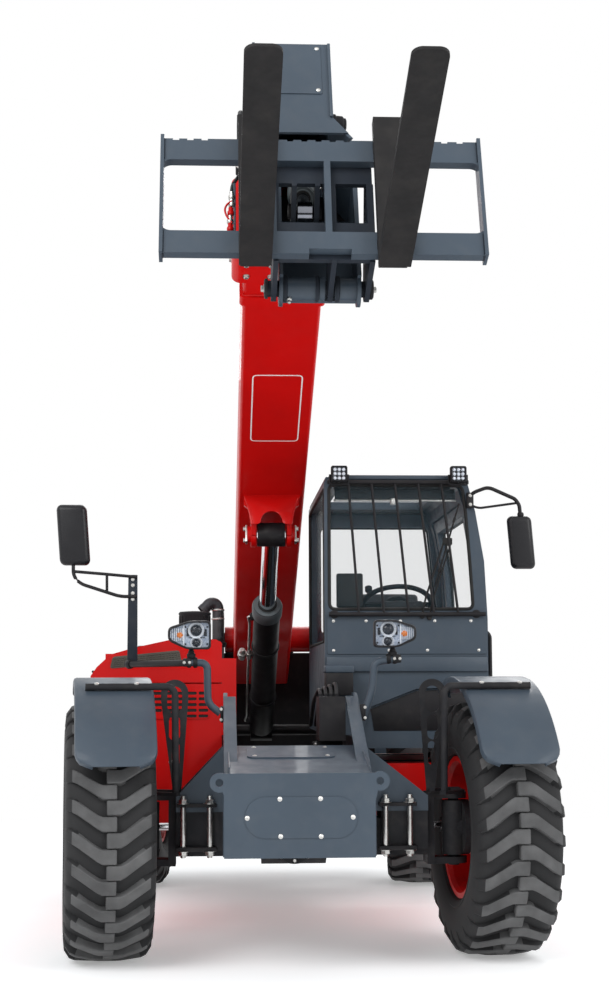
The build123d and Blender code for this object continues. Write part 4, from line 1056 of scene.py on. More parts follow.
# ---------------------------------------------------------------- boom, head and carriage
@dataclass
class Boom:
    """Fittings of the outer and inner booms: blank sign, collar bolts, wear pads, welds and lines."""

    floor: float = -0.243
    top: float = 0.177
    half: float = 0.1825
    sign_x: Point = (-0.126, 0.124)
    sign_along: Point = (2.8, 3.393)
    block_x: Point = (-0.2355, 0.2795)
    eye_along: float = 2.122
    eye_up: float = -0.414

    def under(self, up: float) -> Matrix:
        """Matrix for a piece drawn as (x, along) that faces down from the boom's underside."""
        return BOOM.matrix @ Matrix(((1, 0, 0, 0), (0, 1, 0, 0), (0, 0, -1, up), (0, 0, 0, 1)))

    def sign(self) -> None:
        """Fixes a blank sign with a pale border below the boom."""
        low, high = (self.sign_x[0], self.sign_along[0]), (self.sign_x[1], self.sign_along[1])
        sheet = panel(box_corners(low, high), 0.028, 0.0012, self.under(self.floor))
        mend(sheet)
        down = -BOOM.up
        with editing(sheet):
            pick_faces(lambda middle, normal: normal.dot(down) > 0.9)
            bpy.ops.mesh.inset(thickness=0.0062)
        hand_over(sheet, "boom_sign", SIGN_WHITE, "outer_boom", also=[RED])
        field = max((face for face in sheet.data.polygons if face.normal.dot(down) > 0.9),
                    key=lambda face: face.area)
        field.material_index = 1

    def collar(self) -> None:
        """Bolts the wear pads round the boom's mouth."""
        spots = []
        for x in self.block_x:
            for along in (4.185, 4.275):
                for up in (-0.17, 0.1):
                    spots.append((BOOM.at(x, along, up), (math.copysign(1, x), 0, 0)))
        for x in (-0.17, -0.06, 0.08, 0.2):
            for along in (4.19, 4.27):
                spots.append((BOOM.at(x, along, self.floor - 0.027), -BOOM.up))
                spots.append((BOOM.at(x, along, self.top + 0.024), BOOM.up))
        Fastener(0.011).mount(spots, "boom_pad_bolts", "outer_boom")
        pads = []
        for up, far in ((self.floor + 0.0105, self.floor + 0.0195), (self.top - 0.0195, self.top - 0.0105)):
            for x in (-0.1, 0.1):
                pads.append(BOOM.block((x - 0.035, x + 0.035), (4.19, 4.325), (up, far), 0.002))
        hand_over(pads, "boom_wear_pads", PLASTIC, "outer_boom")

    def welds(self) -> None:
        """Runs weld beads round the collar and along the cylinder's lugs."""
        beads = []
        for along in (3.958, 4.022, 4.138):
            left, right = [
                [(x, along, up) for up in (self.top, self.floor)] for x in (-self.half, self.half)
            ]
            beads.append(bead(BOOM.path([*left, *reversed(right), left[0]]), 0.005))
        for x in (-0.112, -0.083, 0.083, 0.112):
            seam = BOOM.path([(x, 1.97, self.floor - 0.002), (x, 2.24, self.floor - 0.002)])
            beads.append(bead(seam, 0.0045))
        hand_over(beads, "boom_welds", RED, "outer_boom")

    def lugs(self) -> None:
        """Stiffens the lift cylinder's lugs with an arched doubler, and bolts keepers on their pin."""
        arch = [(0.06 * math.cos(turn * math.pi / 10),
                 -0.415 + 0.072 * math.sin(turn * math.pi / 10)) for turn in range(11)]
        outline = [(-0.15, -0.246), (0.16, -0.246), (0.124, -0.35), (0.112, -0.425), (0.078, -0.425), *arch,
                   (-0.078, -0.425), (-0.112, -0.425), (-0.124, -0.35)]
        apron = plate([BOOM.at(x, 2.2512, up) for x, up in outline], BOOM.forward * 0.008, 0.003)
        edges = [bead(BOOM.path([(-0.152, 2.256, -0.245), (0.162, 2.256, -0.245)]), 0.005)]
        for out in (-1, 1):
            edges.append(bead(BOOM.path([(out * 0.145, 2.2594, -0.262), (out * 0.116, 2.2594, -0.345),
                                         (out * 0.104, 2.2594, -0.418)]), 0.003))
        hand_over([apron, *edges], "lug_apron", RED, "outer_boom")
        keepers, bolts = [], []
        for x, out in ((-0.134, -1), (0.134, 1)):
            near, far = sorted((x - out * 0.006, x + out * 0.006))
            keepers.append(BOOM.block((near, far), (self.eye_along - 0.018, self.eye_along + 0.018),
                                      (self.eye_up - 0.052, self.eye_up + 0.052), 0.003))
            bolts += [(BOOM.at(x + out * 0.006, self.eye_along, self.eye_up + rise),
                       (out, 0, 0)) for rise in (-0.036, 0.036)]
        hand_over(keepers, "lift_pin_caps", ZINC, "outer_boom")
        Fastener(0.012).mount(bolts, "lift_pin_bolts", "outer_boom")

    def lines(self) -> None:
        """Clips two hard lines along the boom's top, from its foot to the mouth."""
        pipes = []
        for step in range(2):
            x, up = -0.05 - 0.032 * step, self.top + 0.013
            pipes.append(pipe(BOOM.path([(x, 0.24, up), (x, 3.9, up)]), 0.0085))
        hand_over(pipes, "boom_lines", ZINC, "outer_boom", smooth=60)
        clips, bolts = [], []
        for along in (0.4, 1.05, 1.7, 2.35, 3.0, 3.65):
            clips.append(BOOM.block((-0.105, -0.027), (along - 0.018, along + 0.018),
                                    (self.top - 0.001, self.top + 0.026), 0.005))
            bolts.append((BOOM.at(-0.066, along, self.top + 0.026), BOOM.up))
        hand_over(clips, "line_clips", PLASTIC, "outer_boom")
        Fastener(0.007).mount(bolts, "clip_bolts", "outer_boom")

    def build(self) -> None:
        """Builds the boom's fittings."""
        dress("boom", RED)
        dress("inner_boom", RED)
        for step in (self.sign, self.collar, self.welds, self.lugs, self.lines):
            step()


@dataclass
class BoomHead:
    """Fittings of the boom's head: blank badge, side boss, pin caps, hoses and welds."""

    face: float = 5.19
    half: float = 0.16
    ring_x: Sequence[float] = (-0.04, 0.085, 0.165)

    def badge(self) -> None:
        """Frames a blank plate on the head's front and bolts its corners."""
        spots = [
            (BOOM.at(x, self.face + 0.004, up), BOOM.forward)
            for x in (-0.105, 0.105) for up in (-0.118, 0.114)
        ]
        Fastener(0.0075, BoltHead.DOME).mount(spots, "badge_bolts", "extension")
        edges = []
        for x in (-self.half + 0.006, self.half - 0.006):
            edges.append(BOOM.block((x - 0.0065, x + 0.0065), (self.face - 0.004, self.face + 0.01),
                                    (-0.262, 0.142), 0.003))
        hand_over(edges, "head_edges", SLATE, "extension")

    def boss(self) -> None:
        """Caps the tilt cylinder's pin and a hose boss on the head's left side."""
        hand_over(lathe(Section.HOSE_BOSS, BOOM.at(self.half, 5.09, -0.205), (1, 0, 0), 28), "head_boss",
                  CAST, "extension")
        caps, bolts = [], []
        for out in (-1, 1):
            spot = BOOM.at(out * self.half, 4.64, 0.06)
            caps.append(lathe(Section.PIN_CAP, spot, (out, 0, 0), 28))
            bolts += [(spot + Vector((out * 0.011, 0, 0)) + BOOM.forward * s * 0.034,
                       (out, 0, 0)) for s in (-1, 1)]
        hand_over(caps, "tilt_pin_caps", CAST, "extension")
        Fastener(0.008).mount(bolts, "tilt_pin_bolts", "extension")

    def hoses(self) -> None:
        """Curves two hoses from the boom's mouth over the head's right side."""
        lines, ends = [], []
        for step in range(2):
            x = -self.half - 0.016 - 0.03 * step
            up = 0.02 - 0.045 * step
            route = BOOM.path([(x, 4.72, up - 0.06), (x, 4.92, up), (x, 5.06, up - 0.07),
                               (x + 0.004, 5.08, up - 0.19)])
            lines.append(pipe(route, 0.011, 0.07))
            ends.append(lathe(Section.HEAD_UNION, route[-1] - BOOM.up * 0.02, BOOM.up, 6))
            ends.append(lathe(Section.HEAD_UNION, route[0] - BOOM.forward * 0.02, BOOM.forward, 6))
        hand_over(lines, "head_hoses", HOSE, "extension", smooth=60)
        hand_over(ends, "head_unions", ZINC, "extension", smooth=20)
        block_piece = BOOM.block(
            (-self.half - 0.062, -self.half + 0.002), (5.04, 5.115), (-0.265, -0.175), 0.006
        )
        other = BOOM.block((-self.half - 0.062, -self.half + 0.002), (4.66, 4.71), (-0.1, 0.01), 0.006)
        hand_over([block_piece, other], "head_valves", CAST, "extension")

    def welds(self) -> None:
        """Runs weld beads down the neck and round the coupler's tube."""
        beads = []
        for x in (-0.06, 0.26):
            beads.append(bead(BOOM.path([(x, 4.992, -0.4), (x, 4.975, -0.83)]), 0.0045))
        for x in (-self.half + 0.002, self.half - 0.002):
            beads.append(bead(BOOM.path([(x, 4.7, -0.262), (x, 5.18, -0.262)]), 0.0045))
        hand_over(beads, "head_welds", SLATE, "extension")
        # Plate that closes the neck's opening; its black paints the shade inside the head.
        slot = [(-0.143, -0.258), (0.143, -0.258), (0.243, -0.398), (-0.043, -0.398)]
        hand_over(plate([BOOM.at(x, 4.7, up) for x, up in slot], BOOM.forward * 0.012, 0.002),
                  "neck_shade_plate", BLACK, "extension")
        hand_over([lathe(Section.TUBE_RING, BOOM.at(x, 4.92, -0.916), (1, 0, 0), 32) for x in self.ring_x],
                  "coupler_tube_rings", SLATE_PAINTED_SHADE, "extension")
        hand_over(lathe(Section.NIPPLE, BOOM.at(-0.02, 4.92, -0.958), -BOOM.up, 12), "coupler_nipple", ZINC,
                  "extension")

    def build(self) -> None:
        """Builds the head's fittings."""
        dress("boom_head", SLATE)
        for step in (self.badge, self.boss, self.hoses, self.welds):
            step()


@dataclass
class Carriage:
    """Fittings of the coupler, the fork carriage and the forks."""

    half: float = 0.619
    face: float = 0.319
    foot: float = -0.046
    top: float = 0.475
    fork_x: Sequence[float] = (-0.26, 0.26)
    fork_half: float = 0.061

    def welds(self) -> None:
        """Runs weld beads where the bars meet the end plates, in front and behind."""
        beads = []
        for out in (-1, 1):
            x = out * (self.half - 0.014)
            for low, high in ((self.foot, self.foot + 0.098), (self.top - 0.098, self.top)):
                for depth in (self.face + 0.001, self.face - 0.041):
                    beads.append(bead(CARRIAGE.path([(x, depth, low + 0.004), (x, depth, high - 0.004)])))
                beads.append(bead(CARRIAGE.path([(x, self.face - 0.036, low - 0.001), (x, self.face - 0.004,
                                                                                       low - 0.001)])))
        for x in (-0.19, -0.17, 0.03, 0.05, 0.175, 0.195):
            beads.append(bead(CARRIAGE.path([(x, 0.276, 0.06), (x, 0.276, 0.3)])))
        hand_over(beads, "carriage_welds", SLATE_PAINTED_SHADE, "carriage")

    def pins(self) -> None:
        """Caps the coupler's pin, and keeps the tilt eye's pin."""
        caps, bolts = [], []
        for x, out in ((-0.207, -1), (0.202, 1)):
            spot = CARRIAGE.at(x, 0, 0)
            caps.append(lathe(Section.COUPLER_PIN_CAP, spot, (out, 0, 0), 32))
            bolts.append((spot + Vector((out * 0.01, 0, 0)), (out, 0, 0)))
        for x, out in ((-0.117, -1), (-0.003, 1)):
            spot = CARRIAGE.at(x, 0.15, 0.26)
            caps.append(lathe(Section.EYE_PIN_CAP, spot, (out, 0, 0), 24))
        hand_over(caps, "carriage_pin_caps", CAST, "carriage")
        Fastener(0.013).mount(bolts, "carriage_pin_bolts", "carriage")

    def forks(self) -> None:
        """Dresses the forks and rounds the hooks that hang them on the carriage."""
        dress("forks", FORK_BLACK)
        hooks = []
        for x in self.fork_x:
            hook = [(0.331, 0.4765), (0.331, 0.503), (0.27, 0.503), (0.258, 0.493), (0.258, 0.465),
                    (0.277, 0.465), (0.277, 0.4765)]
            hooks.append(plate([CARRIAGE.at(x - self.fork_half + 0.006, out, up) for out, up in hook],
                               (2 * self.fork_half - 0.012, 0, 0), 0.003))
            lower = [(0.331, self.foot - 0.0015), (0.331, self.foot - 0.03), (0.27, self.foot - 0.03),
                     (0.27, self.foot - 0.0015)]
            hooks.append(plate([CARRIAGE.at(x - self.fork_half + 0.006, out, up) for out, up in lower],
                               (2 * self.fork_half - 0.012, 0, 0), 0.003))
        hand_over(hooks, "fork_hooks", FORK_BLACK, "carriage")

    def couplings(self) -> None:
        """Sets a pair of quick couplings with red and pale caps on the carriage's right side."""
        hand_over(CARRIAGE.block((-0.34, -0.33), (0.262, 0.279), (0.06, 0.3), 0.003), "coupling_bracket",
                  SLATE, "carriage")
        body = ((0.0, 0.0), (0.0, 0.01), (0.004, 0.013), (0.016, 0.013), (0.02, 0.009), (0.034, 0.009),
                (0.034, 0.0))
        red, pale = [], []
        for x, up, group in ((-0.352, 0.078, red), (-0.352, 0.112, pale), (-0.35, 0.15, red),
                             (-0.346, 0.188, pale), (-0.346, 0.222, pale)):
            group.append(lathe(body, CARRIAGE.at(x, 0.276, up), CARRIAGE.up, 18))
        red += [pipe(CARRIAGE.path([(-0.345, 0.285, 0.11), (-0.372, 0.285, 0.15), (-0.372, 0.285, 0.19),
                                    (-0.345, 0.285, 0.21)]), 0.004, 0.02)]
        hand_over(red, "red_couplings", RED, "carriage", smooth=50)
        hand_over(pale, "pale_couplings", ZINC, "carriage")
        hand_over(pipe(CARRIAGE.path([(-0.346, 0.276, 0.25), (-0.346, 0.268, 0.29), (-0.335, 0.24, 0.33),
                                      (-0.3, 0.24, 0.39)]), 0.007, 0.03), "coupling_hose", HOSE, "carriage",
                  smooth=60)

    def build(self) -> None:
        """Builds the carriage's fittings."""
        # The coupler gets the darkened slate, its colour painted shade.
        dress("coupler", SLATE_PAINTED_SHADE)
        dress("fork_carriage", SLATE)
        for step in (self.welds, self.pins, self.forks, self.couplings):
            step()


@dataclass
class Cylinders:
    """Fittings of the lift and tilt cylinders: glands, wipers, ports, hard lines and clamps."""

    def one(self, name: str, rod_name: str, base: Vector, line: Vector, length: float, radius: float,
            thin: float, side: Vector) -> None:
        """Fits one cylinder.

        Args:
            name: CAD body of the barrel, which is also its node's stem.
            rod_name: CAD body of the rod. Not used.
            base: Eye of the barrel.
            line: Direction from the barrel's eye to the rod's.
            length: Distance from the eye to the barrel's mouth.
            radius: Radius of the gland.
            thin: Radius of the rod.
            side: Direction in which the ports face.
        """
        stem = name.replace("barrel", "cylinder")
        mouth = base + line * length
        gland = lathe(
            [(-0.092, radius - 0.002), (-0.09, radius + 0.006), (-0.02, radius + 0.008),
             (-0.012, radius + 0.004), (-0.002, radius), (0.003, radius - 0.004), (0.003, thin + 0.012),
             (0.008, thin + 0.01), (0.008, thin + 0.0016), (-0.01, thin + 0.0016)], mouth, line, 44
        )
        hand_over(gland, f"{stem}_gland", SLATE_PALE, name)
        hand_over(lathe([(0.006, thin + 0.0012), (0.006, thin + 0.008), (0.012, thin + 0.007),
                         (0.014, thin + 0.0012)], mouth, line, 36), f"{stem}_wiper", SEAL, name)
        ports, lines, bands = [], [], []
        for along in (0.13, length - 0.13):
            spot = base + line * along + side * (radius - 0.009)
            ports.append(lathe(Section.PORT, spot, side, 20))
        lift = radius + 0.018
        route = [base + line * 0.13 + side * (radius + 0.012), base + line * 0.13 + side * (lift + 0.012),
                 base + line * 0.2 + side * lift, base + line * (length - 0.2) + side * lift,
                 base + line * (length - 0.13) + side * (lift + 0.012),
                 base + line * (length - 0.13) + side * (radius + 0.012)]
        lines.append(pipe(route, 0.0075, 0.012))
        for share in (0.3, 0.7):
            spot = base + line * length * share
            bands.append(clamp_ring(spot, line, radius - (0.0035 if "lift" in name else 0), 0.022))
        hand_over(ports, f"{stem}_ports", CAST, name)
        hand_over(lines, f"{stem}_line", ZINC, name, smooth=60)
        hand_over(bands, f"{stem}_bands", CAST, name)

    def unions(self, foot: Vector, line: Vector) -> None:
        """Hangs two hose unions on the lift cylinder's right side, where its hard line ends."""
        pieces = []
        for x, radius in ((-0.14, 0.027), (-0.096, 0.019)):
            spot = foot + line * 1.0 + Vector((x, 0, 0))
            pieces.append(
                lathe([(-0.055, 0.0), (-0.055, radius * 0.75), (-0.022, radius * 0.75), (-0.022, radius),
                       (0.012, radius), (0.012, radius * 0.8), (0.036, radius * 0.72),
                       (0.046, radius * 0.45), (0.046, 0.0)], spot, line, 12)
            )
        pieces.append(rod(foot + line + Vector((-0.07, 0, 0)), foot + line + Vector((-0.145, 0, 0)), 0.012,
                          12))
        hand_over(pieces, "lift_unions", ZINC, "lift_barrel", smooth=25)

    def build(self) -> None:
        """Fits both cylinders and dresses their nodes."""
        for node in ("lift_cylinder_barrel", "tilt_cylinder_barrel"):
            dress(node, BLACK)
        dress("lift_cylinder_rod", CHROME)
        # The tilt rod's chrome is darkened with painted shade.
        dress("tilt_cylinder_rod", TILT_CHROME_IN_PAINTED_SHADE)
        foot = Vector(JOINTS["lift_barrel_swing"]["pos_m"])
        line = Vector(JOINTS["lift_rod_slide"]["axis"]).normalized()
        self.one("lift_barrel", "lift_rod", foot, line, 1.56, 0.082, 0.048, Vector((-1, 0, 0)))
        self.unions(foot, line)
        hand_over(lathe(Section.EYE_SLEEVE, BOOM.at(0, Boom.eye_along, Boom.eye_up), (1, 0, 0), 72),
                  "lift_eye_sleeve", BLACK, "lift_rod", smooth=40)
        foot = Vector(JOINTS["tilt_barrel_swing"]["pos_m"])
        line = Vector(JOINTS["tilt_rod_slide"]["axis"]).normalized()
        self.one("tilt_barrel", "tilt_rod", foot, line, 0.68, 0.052, 0.025, Vector((1, 0, 0)))


# ---------------------------------------------------------------- shared details
def rounded(
    corners: Sequence[tuple[float, float]], radius: float, steps: int = 4
) -> list[tuple[float, float]]:
    """Outline with its corners rounded.

    Args:
        corners: Corners of the outline, in order.
        radius: Radius of the rounding, or a smaller one where a side is short.
        steps: Points along each rounding.

    Returns:
        The points of the rounded outline.
    """
    outline = []
    spots = [Vector(corner) for corner in corners]
    for before, here, after in zip([spots[-1], *spots[:-1]], spots, [*spots[1:], spots[0]]):
        reach = min(radius, (before - here).length * 0.49, (after - here).length * 0.49)
        start, end = here + (before - here).normalized() * reach, here + (after - here).normalized() * reach
        for step in range(steps + 1):
            t = step / steps
            spot = start * (1 - t) ** 2 + here * 2 * t * (1 - t) + end * t**2
            outline.append((spot.x, spot.y))
    return outline


def panel(corners: Sequence[tuple[float, float]], radius: float, thick: float, place_at: Matrix,
          edge: float = 0.0) -> Piece:
    """Flat plate with rounded corners, drawn in its own X and Y and pushed towards its own Z."""
    piece = plate([(x, y, 0) for x, y in rounded(corners, radius)], (0, 0, thick), edge)
    return place(piece, place_at)


def box_corners(low: Point, high: Point) -> list[tuple[float, float]]:
    """Corners of a rectangle between two of them."""
    return [(low[0], low[1]), (high[0], low[1]), (high[0], high[1]), (low[0], high[1])]


def upright(y: float, facing: float = -1.0) -> Matrix:
    """Matrix that stands a piece drawn in X and Y as (x, z) at a depth, pushed to the nose or tail."""
    return Matrix(((1, 0, 0, 0), (0, 0, facing, y), (0, 1, 0, 0), (0, 0, 0, 1)))


def bead(points: Sequence[Point], radius: float = 0.004) -> Piece:
    """Weld bead: a thin tube whose radius swells and shrinks along its length."""
    places = [Vector(point) for point in points]
    fine = []
    for here, there in zip(places, places[1:]):
        count = max(2, int((there - here).length / (radius * 2.2)))
        fine += [here.lerp(there, step / count) for step in range(count)]
    fine.append(places[-1])
    return pipe(fine, radius, 0, 1)


def clamp_ring(centre: Point, axis: Point, radius: float, width: float = 0.018) -> Piece:
    """Clamp round a tube: a band with a raised middle."""
    half = width / 2
    return lathe([(-half, radius), (-half, radius + 0.004), (-half * 0.4, radius + 0.007),
                  (half * 0.4, radius + 0.007), (half, radius + 0.004), (half, radius)], centre, axis, 20)


# ---------------------------------------------------------------- nose, axles and underside
@dataclass
class Nose:
    """Fittings of the nose: bolts of the hatch and the floor plate, welds, and the hoses behind it."""

    hatch_y: float = -1.154
    hatch_bolts: Sequence[Point] = (
        (-0.125, 0.767), (0.051, 0.768), (-0.266, 0.687), (-0.122, 0.608), (0.053, 0.607), (0.192, 0.688)
    )
    floor_fall: float = 0.16906
    floor_middle: Point = (-0.06, -0.71, 0.948)

    def bolts(self) -> None:
        """Sets dome bolts round the hatch and at the floor plate's corners."""
        rise, fall = math.cos(self.floor_fall), math.sin(self.floor_fall)
        across, along, up = Vector((1, 0, 0)), Vector((0, rise, fall)), Vector((0, -fall, rise))
        spots = [((x, self.hatch_y, z), (0, -1, 0)) for x, z in self.hatch_bolts]
        for x in (-0.165, 0.165):
            for run in (-0.092, 0.092):
                spots.append((Vector(self.floor_middle) + across * x + along * run + up * 0.006, up))
        Fastener(0.0085, BoltHead.DOME).mount(spots, "nose_bolts")

    def welds(self) -> None:
        """Runs weld beads where the nose's walls meet its plates."""
        beads = []
        for x in (-0.343, 0.268):
            beads.append(bead([(x, -1.128, 0.9), (x, -0.56, 0.997)]))
        for x in (-0.366, 0.291):
            beads.append(bead([(x, -1.129, 0.52), (x, -1.129, 0.865)]))
        hand_over(beads, "nose_welds", SLATE)

    def hoses(self) -> None:
        """Hangs hoses and a valve block in the channel between the nose and the boom."""
        lines = []
        for index in range(4):
            x = 0.115 + 0.026 * index
            lines.append(pipe([(x, -0.18, 1.195), (x, -0.12, 1.245 + 0.012 * index), (x - 0.02, 0.06, 1.18),
                               (x - 0.02, 0.35, 1.05)], 0.0105, 0.05))
        hand_over(lines, "nose_hoses", HOSE, smooth=60)
        unions = [
            lathe(Section.NOSE_UNION, (0.115 + 0.026 * index, -0.18, 1.18), (0, 0, 1), 6)
            for index in range(4)
        ]
        hand_over(unions, "nose_unions", CAST, smooth=20)
        valve = block((-0.16, -0.42, 0.7122), (0.03, -0.24, 0.82), 0.008)
        places = (-0.13, -0.085, -0.04, 0.005)
        knobs = [rod((x, -0.33, 0.82), (x, -0.33, 0.86), 0.018, 16, 0.003) for x in places]
        spools = [rod((x, -0.445, 0.765), (x, -0.42, 0.765), 0.014, 12, 0.002) for x in places]
        hand_over([valve, *knobs, *spools], "nose_valve", CAST)
        # The chest's body is black to paint the shade on its sides below the lit slate lid.
        hand_over(block((0.158, 0.075, 1.205), (0.298, 0.236, 1.32), 0.006), "channel_chest", BLACK)
        hand_over(block((0.154, 0.07, 1.318), (0.302, 0.238, 1.356), 0.008, 3), "channel_chest_lid", SLATE)
        hand_over(block((-0.335, 3.138, 1.44), (0.135, 3.1545, 1.51), 0.004), "tower_lip", BLACK)

    def build(self) -> None:
        """Builds the nose's fittings."""
        dress("nose", SLATE)
        self.bolts()
        self.welds()
        self.hoses()


@dataclass
class Axles:
    """Clamps that hold the axles below the chassis, and the axles' own covers, nipples and hoses."""

    rows: Sequence[float] = (-0.5, 2.45)
    studs: Sequence[Sequence[float]] = ((-0.55, -0.428), (0.383, 0.496))
    pad_reach: float = 0.125
    ledge: float = 0.046

    def clamps(self) -> None:
        """Stands studs between an upper and a lower ledge, before and behind each axle."""
        ledges, studs, nuts = [], [], []
        for y in self.rows:
            for fore in (-1, 1):
                near, far = sorted((y + fore * (self.pad_reach - 0.002),
                                    y + fore * (self.pad_reach + self.ledge)))
                middle = y + fore * (self.pad_reach + 0.026)
                for pair in self.studs:
                    for low, high in ((0.5, 0.52), (0.7, 0.716)):
                        ledges.append(block((min(pair) - 0.032, near, low), (max(pair) + 0.032, far, high),
                                            0.004))
                    for x in pair:
                        studs.append(rod((x, middle, 0.47), (x, middle, 0.752), 0.0125, 20, 0.002))
                        nuts += [((x, middle, 0.716), (0, 0, 1)), ((x, middle, 0.5), (0, 0, -1))]
        hand_over(ledges, "axle_clamps", BLACK)
        hand_over(studs, "axle_studs", ZINC)
        Fastener(0.021).mount(nuts, "axle_nuts")

    def covers(self) -> None:
        """Bolts a round cover on each differential and a nipple on each kingpin."""
        covers, bolts = [], []
        for y in self.rows:
            fore = -1 if y < 0 else 1
            centre = Vector((-0.0375, y + fore * 0.105, 0.555))
            covers.append(lathe(Section.AXLE_COVER, centre, (0, fore, 0), 40))
            for x, z in around(10, 0.101, 0.5):
                bolts.append((centre + Vector((x, fore * 0.03, z)), (0, fore, 0)))
            for x in (-0.72, 0.72):
                bolts.append(((x, y, 0.754), (0, 0, 1)))
        hand_over(covers, "axle_covers", CAST)
        Fastener(0.0085).mount(bolts, "axle_bolts")

    def hoses(self) -> None:
        """Leads two hoses to each steering cylinder."""
        lines, ends = [], []
        for y in self.rows:
            fore = -1 if y < 0 else 1
            rod_y = y - fore * 0.15
            for side in (-1, 1):
                x = side * 0.15 - 0.03
                lines.append(
                    pipe([(x, rod_y, 0.628), (x, rod_y, 0.668), (x * 0.6, rod_y - fore * 0.05, 0.682),
                          (x * 0.3 - 0.02, rod_y - fore * 0.16, 0.686)], 0.009, 0.02)
                )
                ends.append(lathe(Section.STEERING_UNION, (x, rod_y, 0.626), (0, 0, 1), 6))
        hand_over(lines, "steering_hoses", HOSE, smooth=60)
        hand_over(ends, "steering_unions", ZINC, smooth=20)

    def build(self) -> None:
        """Builds the axles' fittings and dresses the axles and rods."""
        for node in ("front_axle", "rear_axle"):
            dress(node, CAST)
        for node in ("front_steering_rod", "rear_steering_rod"):
            dress(node, CHROME)
        self.clamps()
        self.covers()
        self.hoses()


@dataclass
class Frame:
    """Fittings of the chassis: pin keepers, rail bolts and clipped hard lines."""

    def build(self) -> None:
        """Adds keeper plates on the large pins and hard lines along the left rail."""
        dress("frame", BLACK)
        keepers, bolts = [], []
        for y, z, reach in ((2.8, 1.565, 0.062), (2.7, 0.965, 0.045)):
            for x, out in ((-0.402, -1), (0.327, 1)):
                spot = Vector((x, y, z))
                low = spot + Vector((0, -reach - 0.03, -0.026))
                high = spot + Vector((out * 0.009, reach + 0.03, 0.026))
                low.x, high.x = sorted((low.x, high.x))
                keepers.append(block(low, high, 0.003))
                bolts += [(spot + Vector((out * 0.008, side * (reach + 0.012), 0)),
                           (out, 0, 0)) for side in (-1, 1)]
        hand_over(keepers, "pin_keepers", BLACK)
        Fastener(0.011).mount(bolts, "keeper_bolts")
        hand_over([pipe([(x, -0.1, 0.9), (x, 1.9, 0.9)], 0.008) for x in (0.245, 0.223, 0.201)],
                  "rail_lines", ZINC, smooth=60)
        middles = (0.1, 0.7, 1.3, 1.8)
        hand_over([block((0.185, y - 0.012, 0.886), (0.27, y + 0.012, 0.914), 0.005) for y in middles],
                  "rail_clips", PLASTIC)


